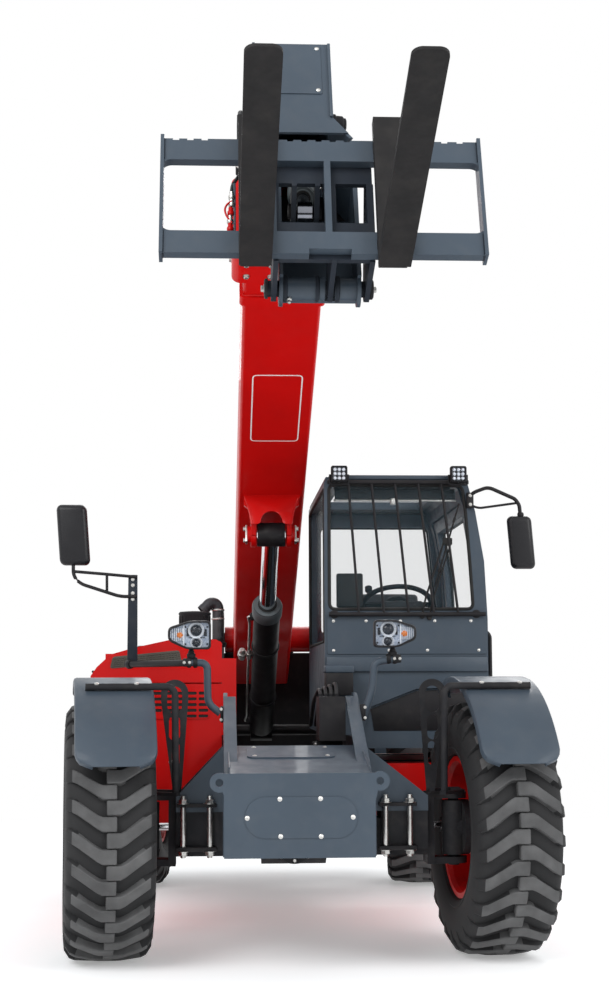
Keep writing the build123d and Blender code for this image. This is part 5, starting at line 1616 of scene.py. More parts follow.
# ---------------------------------------------------------------- cab
@dataclass
class Cab:
    """Outside of the cab: seals, wiper, mouldings, handle, door hinges and roof."""

    front: float = 0.25
    rear: float = 1.7
    belt: float = 1.6
    outer: float = 1.02
    lean: Sequence[tuple[float, float]] = ((1.6, 1.02), (1.9, 1.006), (2.166, 0.962), (2.31, 0.924))

    def wall_x(self, z: float) -> float:
        """Outer x of the left wall at a height."""
        x = self.outer
        for (low, near), (high, far) in zip(self.lean, self.lean[1:]):
            if z > low:
                x = near + (far - near) * min(1.0, (z - low) / (high - low))
        return x

    def seals(self) -> None:
        """Runs rubber seals round the front, rear, side and door glass."""
        screen = [(0.19, 1.65), (0.945, 1.65), (0.93, 1.9), (0.912, 2.15), (0.895, 2.3), (0.19, 2.305)]
        front = [(x, self.front + 0.002, z) for x, z in rounded(screen, 0.034, 5)]
        rear = [(x, self.rear - 0.002, z) for x, z in rounded([(0.23, 1.56), (0.955, 1.56), (0.89, 2.21),
                                                               (0.23, 2.21)], 0.034, 5)]
        right = [(0.168, y, z) for y, z in rounded([(0.294, 1.484), (1.616, 1.484), (1.616, 2.286),
                                                    (0.294, 2.286)], 0.03, 5)]
        hand_over([pipe([*loop, loop[0]], 0.009, 0, 2) for loop in (front, rear, right)], "window_seals",
                  SEAL, smooth=60)
        upper = rounded([(0.48, 1.644), (1.48, 1.644), (1.48, 1.9), (1.48, 2.155), (0.48, 2.155),
                         (0.48, 1.9)], 0.03, 5)
        door = [(self.wall_x(z) + 0.001, y, z) for y, z in upper]
        lower = [(self.outer + 0.001, y, z) for y, z in rounded([(0.48, 1.155), (1.48, 1.155),
                                                                 (1.48, 1.556), (0.48, 1.556)], 0.03, 5)]
        hand_over([pipe([*loop, loop[0]], 0.008, 0, 2) for loop in (door, lower)], "door_seals", SEAL,
                  "door", smooth=60)

    def panels(self) -> None:
        """Lays the lower front panel with its ledge, and bolts it."""
        cover = panel([(0.176, 1.415), (1.012, 1.415), (1.012, 1.6), (0.968, 1.628), (0.19, 1.628),
                       (0.176, 1.6)], 0.012, 0.006, upright(self.front))
        soften(cover, 0.002, 1)
        hand_over(cover, "front_panel", SLATE)
        ledge = block((0.172, 0.232, 1.325), (1.016, 0.2505, 1.402), 0.006)
        with editing(ledge):
            pick_points(lambda spot: spot.y < 0.24 and spot.z > 1.36)
            bpy.ops.transform.translate(value=(0, 0.008, 0))
        hand_over(ledge, "front_ledge", SLATE)
        spots = [((x, 0.244, 1.588), (0, -1, 0)) for x in (0.21, 0.38, 0.56, 0.74, 0.93)]
        spots += [((x, 0.244, 1.435), (0, -1, 0)) for x in (0.21, 0.5, 0.7, 0.97)]
        Fastener(0.0065, BoltHead.DOME).mount(spots, "panel_bolts")
        hand_over(plate([(0.402, 0.2695, 1.132), (0.64, 0.2695, 1.224), (0.998, 0.2695, 1.24),
                         (0.998, 0.2695, 1.02), (0.42, 0.2695, 1.02)], (0, -0.004, 0), 0.002),
                  "bulkhead_cover", BLACK)

    def wiper(self) -> None:
        """Parks a pantograph wiper on the windscreen, with its motor below."""
        y = self.front - 0.006
        arms = [pipe([(0.675, y, 1.612), (0.69, y - 0.01, 1.7), (0.795, y - 0.012, 2.01)], 0.0055, 0.03),
                pipe([(0.712, y, 1.604), (0.728, y - 0.01, 1.69), (0.826, y - 0.012, 1.985)], 0.0045, 0.03)]
        bosses = [rod((x, self.front + 0.004, z), (x, y - 0.012, z), 0.013, 20, 0.003) for x,
                  z in ((0.675, 1.612), (0.712, 1.604))]
        head = block((0.785, y - 0.02, 1.985), (0.836, y - 0.004, 2.022), 0.005)
        hand_over([*arms, *bosses, head], "wiper_arms", SEAL, smooth=50)
        low, high = Vector((0.742, y - 0.004, 1.765)), Vector((0.876, y - 0.004, 2.205))
        along = (high - low).normalized()
        blade = rod(low, high, 0.0042, 8, 0.001)
        bridge = pipe([low.lerp(high, 0.2), low.lerp(high, 0.35) + Vector((0, -0.016, 0)),
                       low.lerp(high, 0.65) + Vector((0, -0.016, 0)), low.lerp(high, 0.8)], 0.004, 0.02)
        clips = [
            rod(spot - along * 0.012, spot + along * 0.012, 0.0075, 10, 0.002)
            for spot in (low.lerp(high, 0.2), low.lerp(high, 0.8))
        ]
        hand_over([blade, bridge, *clips], "wiper_blade", SEAL, smooth=50)
        hand_over(block((0.62, 0.305, 1.6), (0.76, 0.345, 1.655), 0.012, 3), "wiper_motor", PLASTIC)

    def roof(self) -> None:
        """Rounds the roof's front edge, adds gutters and bolts the guard's feet."""
        gutters = [pipe([(0.9045, 0.26, 2.3325), (0.9045, 1.69, 2.3325)], 0.01),
                   pipe([(0.18, 0.26, 2.3365), (0.18, 1.69, 2.3365)], 0.01)]
        brow = block((0.205, 0.24, 2.331), (0.872, 0.2505, 2.352), 0.005, 3)
        hand_over([*gutters, brow], "roof_edges", SLATE)
        feet, bolts = [], []
        for x, z in ((0.215, 1.622), (0.96, 1.622), (0.215, 2.315), (0.86, 2.315)):
            feet.append(lathe(Section.GUARD_FOOT, (x, self.front, z), (0, -1, 0), 24))
            bolts += [((x + dx, self.front - 0.005, z), (0, -1, 0)) for dx in (-0.016, 0.016)]
        hand_over(feet, "guard_feet", BLACK)
        Fastener(0.0045).mount(bolts, "guard_bolts")

    def door(self) -> None:
        """Gives the door a handle with its lock and plates on its hinges."""
        recess = block((self.outer - 0.004, 0.5, 1.578), (self.outer + 0.004, 0.62, 1.624), 0.004)
        grip = pipe(
            [(self.outer, 0.515, 1.6), (self.outer + 0.028, 0.522, 1.6), (self.outer + 0.028, 0.598, 1.6),
             (self.outer, 0.605, 1.6)], 0.008, 0.014
        )
        lock = rod((self.outer, 0.635, 1.6), (self.outer + 0.01, 0.635, 1.6), 0.011, 20, 0.002)
        hand_over([recess, grip, lock], "door_handle", PLASTIC, "door")
        leaves, bolts = [], []
        for z in (1.2, 1.5):
            leaves.append(
                block((self.outer - 0.004, 1.42, z - 0.036), (self.outer + 0.006, 1.55, z + 0.036), 0.003)
            )
            bolts += [
                ((self.outer + 0.006, y, z + dz), (1, 0, 0)) for y in (1.445, 1.49) for dz in (-0.02, 0.02)
            ]
        hand_over(leaves, "hinge_leaves", BLACK, "door")
        Fastener(0.006).mount(bolts, "hinge_bolts", "door")

    def steps(self) -> None:
        """Bends grab rails beside the door."""
        hand_over([pipe(Route.GRAB_RAIL, 0.011, 0.02)], "grab_rails", BLACK, smooth=60)
        hand_over(block((0.965, 0.4, 0.999), (0.998, 1.55, 1.0042), 0.001), "sill_tread", BLACK)

    def build(self) -> None:
        """Builds the outside of the cab."""
        for node in ("cab_base", "cab_frame", "cab_door"):
            dress(node, SLATE)
        dress("cab_guard", BLACK)
        dress("cab_glass", GLASS)
        dress("door_glass", GLASS)
        for step in (self.seals, self.panels, self.wiper, self.roof, self.door, self.steps):
            step()


@dataclass
class Cockpit:
    """Driver's place: dash, display, wheel, levers, pedals, seat, belt and lining."""

    seat_x: float = 0.59
    seat_y: float = 1.25
    wheel_y: float = 0.7
    wheel_z: float = 1.69
    recline: float = 0.1345

    def dash(self) -> None:
        """Shapes the dash's top, its display and switches."""
        dress("driving_controls", PLASTIC)
        hood_top = block((0.3, 0.312, 1.585), (0.9, 0.47, 1.635), 0.018, 3)
        with editing(hood_top):
            pick_points(lambda spot: spot.y > 0.42)
            bpy.ops.transform.translate(value=(0, 0.03, -0.02))
        cluster = block((0.48, 0.4, 1.62), (0.7, 0.455, 1.7), 0.012, 3)
        hand_over([hood_top, cluster], "dash_top", TRIM)
        display = block((0.236, 0.36, 1.665), (0.376, 0.4, 1.845), 0.01, 3)
        arm = rod((0.306, 0.38, 1.62), (0.306, 0.38, 1.67), 0.011, 16, 0.002)
        hand_over([display, arm], "side_display", SEAL)
        hand_over(block((0.248, 0.3995, 1.68), (0.364, 0.4035, 1.83), 0.004), "side_screen", LENS)
        hand_over([lathe(Section.GAUGE, (x, 0.454, 1.66), (0, 1, 0), 28) for x in (0.525, 0.59, 0.655)],
                  "gauges", PLASTIC)

    def wheel(self) -> None:
        """Clads the steering wheel's hub and column and adds the stalks."""
        axis = Vector((0, 0.5, 0.866))
        centre = Vector((self.seat_x, self.wheel_y, self.wheel_z))
        hand_over(lathe(Section.WHEEL_BOSS, centre, axis, 36), "wheel_boss", TRIM)
        shroud = lathe(Section.COLUMN_SHROUD, centre, axis, 28)
        stalks = [
            pipe([centre - axis * 0.075, centre - axis * 0.075 + Vector((side * 0.09, 0.01, 0)),
                  centre - axis * 0.065 + Vector((side * 0.17, 0, 0.02))], 0.006, 0.03)
            for side in (-1, 1)
        ]
        knobs = [
            rod(centre - axis * 0.066 + Vector((side * 0.16, 0, 0.017)),
                centre - axis * 0.06 + Vector((side * 0.195, 0, 0.026)), 0.009, 16, 0.003)
            for side in (-1, 1)
        ]
        spinner = lathe(Section.SPINNER, centre + Vector((-0.16, -0.088, 0.056)), axis, 20)
        hand_over([shroud, *stalks, *knobs, spinner], "column_shroud", PLASTIC, smooth=45)

    def seat(self) -> None:
        """Pads the cushion and the back, with raised side bolsters and a stitched middle."""
        x, y = self.seat_x, self.seat_y
        cushion = self.pad((x - 0.228, y - 0.278, 1.332), (x + 0.228, y + 0.168, 1.438), "z")
        hand_over(cushion, "cushion_cover", CLOTH, replaces=["seat_cushion"], smooth=60)
        back = self.pad((x - 0.218, y + 0.176, 1.402), (x + 0.218, y + 0.286, 1.798), "y")
        back.data.transform(
            Matrix(((1, 0, 0, 0), (0, 1, self.recline, -1.402 * self.recline), (0, 0, 1, 0), (0, 0, 0, 1)))
        )
        hand_over(back, "back_cover", CLOTH, replaces=["seat_back"], smooth=60)
        dress("seat_base", PLASTIC)
        skirt = [
            block((x - 0.186 - s, y - 0.226 - s, z), (x + 0.186 + s, y + 0.206 + s, z + 0.012), 0.004)
            for z, s in ((1.1, 0), (1.13, 0.006), (1.16, 0), (1.19, 0.006), (1.22, 0))
        ]
        hand_over(skirt, "seat_bellows", SEAL)
        rests = []
        for side in (-1, 1):
            pad = x + side * 0.265
            rests.append(block((pad - 0.035, y - 0.16, 1.56), (pad + 0.035, y + 0.14, 1.6), 0.014, 3))
            pivot, elbow = (x + side * 0.24, y + 0.215, 1.5), (x + side * 0.262, y + 0.1, 1.575)
            rests.append(rod(pivot, elbow, 0.012, 16, 0.002))
        hand_over(rests, "arm_rests", VINYL)
        belt = pipe([(x - 0.215, y + 0.15, 1.47), (x - 0.225, y + 0.02, 1.452), (x - 0.1, y - 0.03, 1.449)],
                    0.006, 0.04)
        buckle = block((x + 0.225, y + 0.06, 1.4), (x + 0.245, y + 0.1, 1.5), 0.006)
        hand_over([belt, buckle], "seat_belt", SEAL, smooth=50)

    def pad(self, low: Point, high: Point, face: str) -> Piece:
        """Padded block: bolstered edges, a sunk seam and a stuffed middle.

        Args:
            low: Lowest corner.
            high: Highest corner.
            face: Axis that the seated side faces, "y" towards the nose or "z" upwards.

        Returns:
            The padded piece.
        """
        piece = block(low, high, 0.03, 3)
        outward = Vector((0, -1, 0)) if face == "y" else Vector((0, 0, 1))
        with editing(piece):
            pick_faces(lambda middle, normal: normal.dot(outward) > 0.95)
            bpy.ops.mesh.inset(thickness=0.07, depth=-0.004)
            bpy.ops.mesh.inset(thickness=0.006, depth=-0.01)
            bpy.ops.mesh.inset(thickness=0.008, depth=0.012)
            bpy.ops.mesh.inset(thickness=0.05, depth=0.004)
        focus(piece)
        smooth = piece.modifiers.new("padding", "SUBSURF")
        smooth.levels = 2
        bpy.ops.object.modifier_apply(modifier=smooth.name)
        return piece

    def levers(self) -> None:
        """Stands the control lever in its gaiter and the pedals on the floor."""
        x, y = self.seat_x - 0.27, self.seat_y - 0.2
        console = block((x - 0.06, y - 0.06, 1.035), (x + 0.05, y + 0.34, 1.5), 0.016, 3)
        stick = pipe([(x, y, 1.5), (x + 0.005, y - 0.01, 1.58), (x - 0.005, y - 0.03, 1.66)], 0.01, 0.03)
        gaiter = lathe(Section.GAITER, (x, y, 1.498), (0, 0, 1), 24)
        knob = lathe(Section.LEVER_KNOB, (x - 0.003, y - 0.026, 1.64), (0.0, -0.25, 1), 24)
        hand_over([console, stick, gaiter, knob], "control_console", PLASTIC)
        pedals = []
        for px in (0.5, 0.68):
            pedals.append(plate([(px - 0.04, 0.64, 1.1), (px + 0.04, 0.64, 1.1), (px + 0.035, 0.56, 1.21),
                                 (px - 0.035, 0.56, 1.21)], (0, 0.008, 0.006), 0.003))
            pedals.append(pipe([(px, 0.598, 1.16), (px, 0.55, 1.12), (px, 0.46, 1.2)], 0.008, 0.02))
        hand_over(pedals, "pedals", BLACK)
        hand_over(block((0.24, 0.5, 1.0302), (0.95, 1.64, 1.0365), 0.002), "floor_mat", SEAL)

    def lining(self) -> None:
        """Hangs the sun visor, the dome lamp, the roof lining and the rear shelf."""
        hand_over(block((0.225, 0.322, 2.234), (0.866, 0.328, 2.29), 0.0025), "sun_visor", TRIM)
        rail = rod((0.22, 0.322, 2.229), (0.872, 0.322, 2.229), 0.0065, 12, 0.002)
        knob = rod((0.535, 0.318, 2.205), (0.535, 0.318, 2.24), 0.016, 20, 0.004)
        hand_over([rail, knob], "visor_rail", ZINC)
        hand_over(lathe(Section.DOME_LAMP, (0.535, 0.6, 2.296), (0, 0, -1), 32), "dome_lamp", LENS)
        hand_over(
            [block((0.222, 0.31, 2.288), (0.84, 0.372, 2.318), 0.008), block((0.222, 1.55, 2.288),
                                                                             (0.84, 1.645, 2.318), 0.008)],
            "roof_lining", TRIM
        )
        shelf = block((0.24, 1.56, 1.42), (0.93, 1.652, 1.47), 0.012)
        vents = [lathe(Section.VENT, (x, 0.4, 1.634), (0, 0, 1), 24) for x in (0.36, 0.82)]
        hand_over([shelf, *vents], "rear_shelf", TRIM)

    def build(self) -> None:
        """Builds the driver's place."""
        for step in (self.dash, self.wheel, self.seat, self.levers, self.lining):
            step()


# ---------------------------------------------------------------- lamps and mirrors
@dataclass
class Headlamp:
    """One headlamp on its bent tube beside the nose."""

    side: str
    x: Point
    z: Point
    outer: int
    tube: Sequence[tuple[float, float]]
    y: float = -0.39
    face: float = -0.44

    def across(self, share: float) -> float:
        """X at a share of the lamp's width, from its inner end to its outer one."""
        inner, outer = (self.x[0], self.x[1]) if self.outer > 0 else (self.x[1], self.x[0])
        return inner + (outer - inner) * share

    def outline(self, margin: float) -> list[tuple[float, float]]:
        """Lamp's outline from the front, with a blunt inner end and a tapered outer one."""
        low, high = self.z[0] + margin, self.z[1] - margin
        middle = (low + high) / 2 + 0.002
        near, far = self.across(0.0) + self.outer * margin, self.across(1.0) - self.outer * margin
        return [(near, low), (near, high), (self.across(0.5), high), (far, middle + 0.034 - margin),
                (far, middle - 0.03 + margin), (self.across(0.56), low)]

    def shell(self) -> Piece:
        """Models the housing: a rim round a recess in front, and a back that tapers in."""
        front = panel(self.outline(0.0), 0.022, 0.048, upright(self.face + 0.048), 0.004)
        pierce(front, panel(self.outline(0.0095), 0.018, 0.06, upright(self.face + 0.034)))
        middle = (self.across(0.42), -0.392, (self.z[0] + self.z[1]) / 2)
        back = panel(self.outline(0.004), 0.022, 0.03, upright(-0.362))
        with editing(back):
            pick_faces(lambda spot, normal: normal.y > 0.95)
            bpy.ops.transform.resize(value=(0.62, 1, 0.6), center_override=middle)
        return join([front, back])

    def optics(self) -> None:
        """Sets a projector over a small reflector, the amber end, the ribbed bezel and the clear cover."""
        deep, middle = self.face + 0.03, (self.z[0] + self.z[1]) / 2
        rings, eyes = [], []
        for share, rise, radius in ((0.347, 0.022, 0.037), (0.34, -0.037, 0.027)):
            centre = (self.across(share), deep, middle + rise)
            rings.append(
                lathe([(0.0, radius * 0.7), (0.006, radius * 0.74), (0.014, radius * 0.9), (0.018, radius),
                       (0.016, radius + 0.002), (0.0, radius + 0.002)], centre, (0, -1, 0), 36)
            )
            eyes.append(lathe([(0.0, radius * 0.76), (0.006, radius * 0.74), (0.013, radius * 0.52),
                               (0.017, radius * 0.25), (0.018, 0.0)], centre, (0, -1, 0), 28))
        for share in (0.09, 0.594):
            for rise in (-0.043, 0.039):
                eyes.append(rod((self.across(share), deep, middle + rise), (self.across(share),
                                                                            deep - 0.006, middle + rise),
                                0.0046, 12, 0.001))
        for near, far, low, high in (
            (0.1, 0.17, -0.006, 0.028), (0.515, 0.57, -0.006, 0.034), (0.14, 0.52, -0.0145, -0.0105)
        ):
            eyes.append(block((min(self.across(near), self.across(far)), deep - 0.005, middle + low),
                              (max(self.across(near), self.across(far)), deep, middle + high), 0.0015))
        for share, wide, low, high in (
            (0.634, 0.006, -0.05, 0.052),
            *((0.67 + 0.045 * step, 0.0035, -0.028, 0.034) for step in range(7))
        ):
            x = self.across(share)
            corners = (x - wide / 2, deep - 0.012, middle + low), (x + wide / 2, deep, middle + high)
            rings.append(block(*corners, 0.001))
        hand_over(rings, f"{self.side}_headlamp_bowls", REFLECTOR)
        hand_over(eyes, f"{self.side}_headlamp_eyes", DARK_LENS)
        hand_over(lathe(Section.INDICATOR, (self.across(0.725), deep, middle), (0, -1, 0), 24),
                  f"{self.side}_indicator", AMBER)
        hand_over(panel(self.outline(0.01), 0.016, 0.002, upright(deep + 0.003)),
                  f"{self.side}_headlamp_bezel", BEZEL)
        hand_over(panel(self.outline(0.009), 0.018, 0.003, upright(self.face + 0.004)),
                  f"{self.side}_headlamp_lens", LENS)

    def support(self) -> None:
        """Bends the tube, and clamps the housing's stem and the tube on it."""
        stem = (self.across(0.46), self.y)
        end = self.tube[-1]
        rail = -0.365 if self.outer < 0 else 0.29
        hand_over(pipe([(x, self.y, z) for x, z in self.tube], 0.0188, 0.03), f"{self.side}_headlamp_tube",
                  SLATE, smooth=60)
        foot = block((min(end[0], rail), self.y - 0.026, end[1] - 0.045),
                     (max(end[0], rail), self.y + 0.026, end[1] + 0.035), 0.006)
        neck = rod((*stem, self.tube[0][1] - 0.012), (*stem, self.z[0] + 0.008), 0.0115, 16, 0.002)
        collar = lathe(Section.LAMP_COLLAR, (*stem, self.z[0] - 0.026), (0, 0, 1), 20)
        level = (self.tube[0][0], self.y, self.tube[0][1])
        clamps = [
            clamp_ring(Vector(level) + Vector((-self.outer * s, 0, 0)), (1, 0, 0), 0.0186, 0.02)
            for s in (0.01, 0.04)
        ]
        ears = block((level[0] - 0.02, self.y - 0.026, level[2] - 0.02),
                     (level[0] + 0.02, self.y + 0.026, level[2] + 0.02), 0.006)
        hand_over([foot, neck, collar, *clamps, ears], f"{self.side}_headlamp_mount", PLASTIC)

    def build(self, replaced: Sequence[str]) -> None:
        """Builds the lamp; its housing stands for the nodes given."""
        hand_over(self.shell(), f"{self.side}_headlamp", SHELL, replaces=replaced)
        self.support()
        self.optics()
        level = self.tube[0]
        screws = [((level[0] + dx, self.y - 0.026, level[1]), (0, -1, 0)) for dx in (-0.013, 0.013)]
        screws += [((self.tube[-1][0] * 0.99, self.y - 0.026, self.tube[-1][1] + dz),
                    (0, -1, 0)) for dz in (-0.03, 0.02)]
        Fastener(0.0052).mount(screws, f"{self.side}_headlamp_bolts")


@dataclass
class Lamps:
    """Headlamps and the cab's work lamps."""

    work_x: Sequence[float] = (0.196, 0.821)
    work_z: Point = (2.308, 2.394)
    wide: float = 0.086
    work_y: Point = (0.15, 0.212)

    def work(self) -> None:
        """Builds each work lamp: a finned case on a bracket, nine small lenses and a cover."""
        cases, dots, covers, brackets = [], [], [], []
        for x in self.work_x:
            case = block((x, self.work_y[0] + 0.002, self.work_z[0]),
                         (x + self.wide, self.work_y[1] - 0.016, self.work_z[1]), 0.01, 3)
            with editing(case):
                pick_faces(lambda spot, normal: normal.y < -0.95)
                bpy.ops.mesh.inset(thickness=0.007, depth=-0.01)
            cases.append(case)
            for step in range(6):
                fin_x = x + 0.011 + step * 0.0122
                cases.append(block((fin_x, self.work_y[1] - 0.018, self.work_z[0] + 0.01),
                                   (fin_x + 0.004, self.work_y[1], self.work_z[1] - 0.01), 0.001))
            for column in range(3):
                for row in range(3):
                    spot = (x + 0.02 + 0.023 * column, self.work_y[0] + 0.013,
                            self.work_z[0] + 0.02 + 0.023 * row)
                    dots.append(lathe(Section.WORK_LENS, spot, (0, -1, 0), 16))
            covers.append(panel(box_corners((x + 0.008, self.work_z[0] + 0.008), (x + self.wide - 0.008,
                                                                                  self.work_z[1] - 0.008)),
                                0.006, 0.002, upright(self.work_y[0] + 0.005)))
            middle, near, far = x + self.wide / 2, x - 0.005, x + self.wide + 0.005
            brackets.append(pipe([(near, 0.185, 2.35), (near, 0.185, 2.298), (far, 0.185, 2.298),
                                  (far, 0.185, 2.35)], 0.005, 0.01))
            brackets.append(pipe([(middle, 0.185, 2.298), (middle, 0.235, 2.312), (middle, 0.252, 2.328)],
                                 0.008, 0.01))
        hand_over([*cases, *brackets], "work_lamps", PLASTIC)
        hand_over(dots, "work_lamp_lenses", REFLECTOR)
        hand_over(covers, "work_lamp_covers", LENS)

    def build(self) -> None:
        """Builds every lamp at the front."""
        Headlamp(
            "right", (-0.631, -0.425), (1.428, 1.565), -1, ((-0.54, 1.366), (-0.443, 1.364), (-0.439, 1.17),
                                                            (-0.38, 1.124))
        ).build(["lights"])
        Headlamp("left", (0.356, 0.562), (1.435, 1.568), 1, ((0.47, 1.382), (0.362, 1.366), (0.35, 1.232),
                                                             (0.316, 1.13))).build([])
        self.work()


@dataclass
class Mirrors:
    """Outside mirrors on their tubular arms."""

    def head(self, low: Point, high: Point, name: str) -> None:
        """Builds one mirror: a domed shell with a rim and a silvered glass that faces the driver.

        Args:
            low: Lowest corner of the shell.
            high: Highest corner of the shell.
            name: Which mirror it is.
        """
        low, high = Vector(low), Vector(high)
        shell = block(low, high, 0.031, 6)
        with editing(shell):
            pick_faces(lambda spot, normal: normal.y > 0.95)
            bpy.ops.mesh.inset(thickness=0.006, depth=-0.006)
        self.lean(shell, low, high)
        hand_over(shell, f"{name}_mirror_shell", SHELL, smooth=50,
                  replaces=["mirrors"] if name == "right" else [])
        glass = panel(box_corners((low.x + 0.012, low.z + 0.012), (high.x - 0.012, high.z - 0.012)), 0.022,
                      0.003, upright(high.y - 0.0065, 1.0), 0.0008)
        self.lean(glass, low, high)
        hand_over(glass, f"{name}_mirror_glass", MIRROR)

    def lean(self, piece: Piece, low: Vector, high: Vector) -> None:
        """Leans a piece of a mirror outwards at its top."""
        middle = (low + high) / 2
        slant = Matrix(((0.9, 0, -0.075, 0), (0, 1, 0, 0), (0, 0, 1, 0), (0, 0, 0, 1)))
        piece.data.transform(Matrix.Translation(middle) @ slant @ Matrix.Translation(-middle))

    def arms(self) -> None:
        """Bends both arms, with the flat post on the engine's side."""
        hand_over(plate([(-0.846, 0.004, 1.352), (-0.794, 0.004, 1.352), (-0.797, 0.004, 1.813),
                         (-0.843, 0.004, 1.813)], (0, -0.01, 0), 0.003), "mirror_post", SLATE_PAINTED_SHADE)
        y = -0.014
        stem = pipe([(-1.12, 0.0, 1.884), (-1.118, y, 1.806), (-1.084, y, 1.768), (-0.883, y, 1.703),
                     (-0.8, y, 1.703)], 0.009, 0.026)
        upper = pipe([(-1.116, y, 1.829), (-0.96, y, 1.816), (-0.8, y, 1.801)], 0.008)
        strut = rod((-0.95, y, 1.816), (-0.949, y, 1.724), 0.007, 12)
        beam = pipe([(-0.848, 0.01, 1.3635), (-0.548, -0.372, 1.3635)], 0.0168)
        fan = clamp_ring((-0.832, -0.01, 1.3635), (0.62, -0.78, 0), 0.0166, 0.03)
        hand_over([stem, upper, strut, beam, fan], "right_mirror_arm", BLACK, smooth=50)
        upper = pipe(Route.LEFT_MIRROR_ARM, 0.01, 0.012)
        lower = pipe(Route.LEFT_MIRROR_STAY, 0.0065, 0.02)
        foot = block((0.916, 0.226, 2.18), (0.952, 0.256, 2.262), 0.005)
        collar = clamp_ring((1.194, 0.2, 2.142), (0, 0, 1), 0.01, 0.022)
        hand_over([upper, lower, foot, collar], "left_mirror_arm", BLACK, smooth=50)
        bolts = [((-0.82, -0.006, z), (0, -1, 0)) for z in (1.69, 1.72, 1.76, 1.79)]
        bolts += [((0.934, 0.226, z), (0, -1, 0)) for z in (2.198, 2.246)]
        Fastener(0.0065).mount(bolts, "mirror_bolts")

    def build(self) -> None:
        """Builds both mirrors."""
        self.head((-1.206, -0.033, 1.86), (-1.036, 0.033, 2.168), "right")
        self.head((1.122, 0.167, 1.856), (1.265, 0.233, 2.135), "left")
        self.arms()


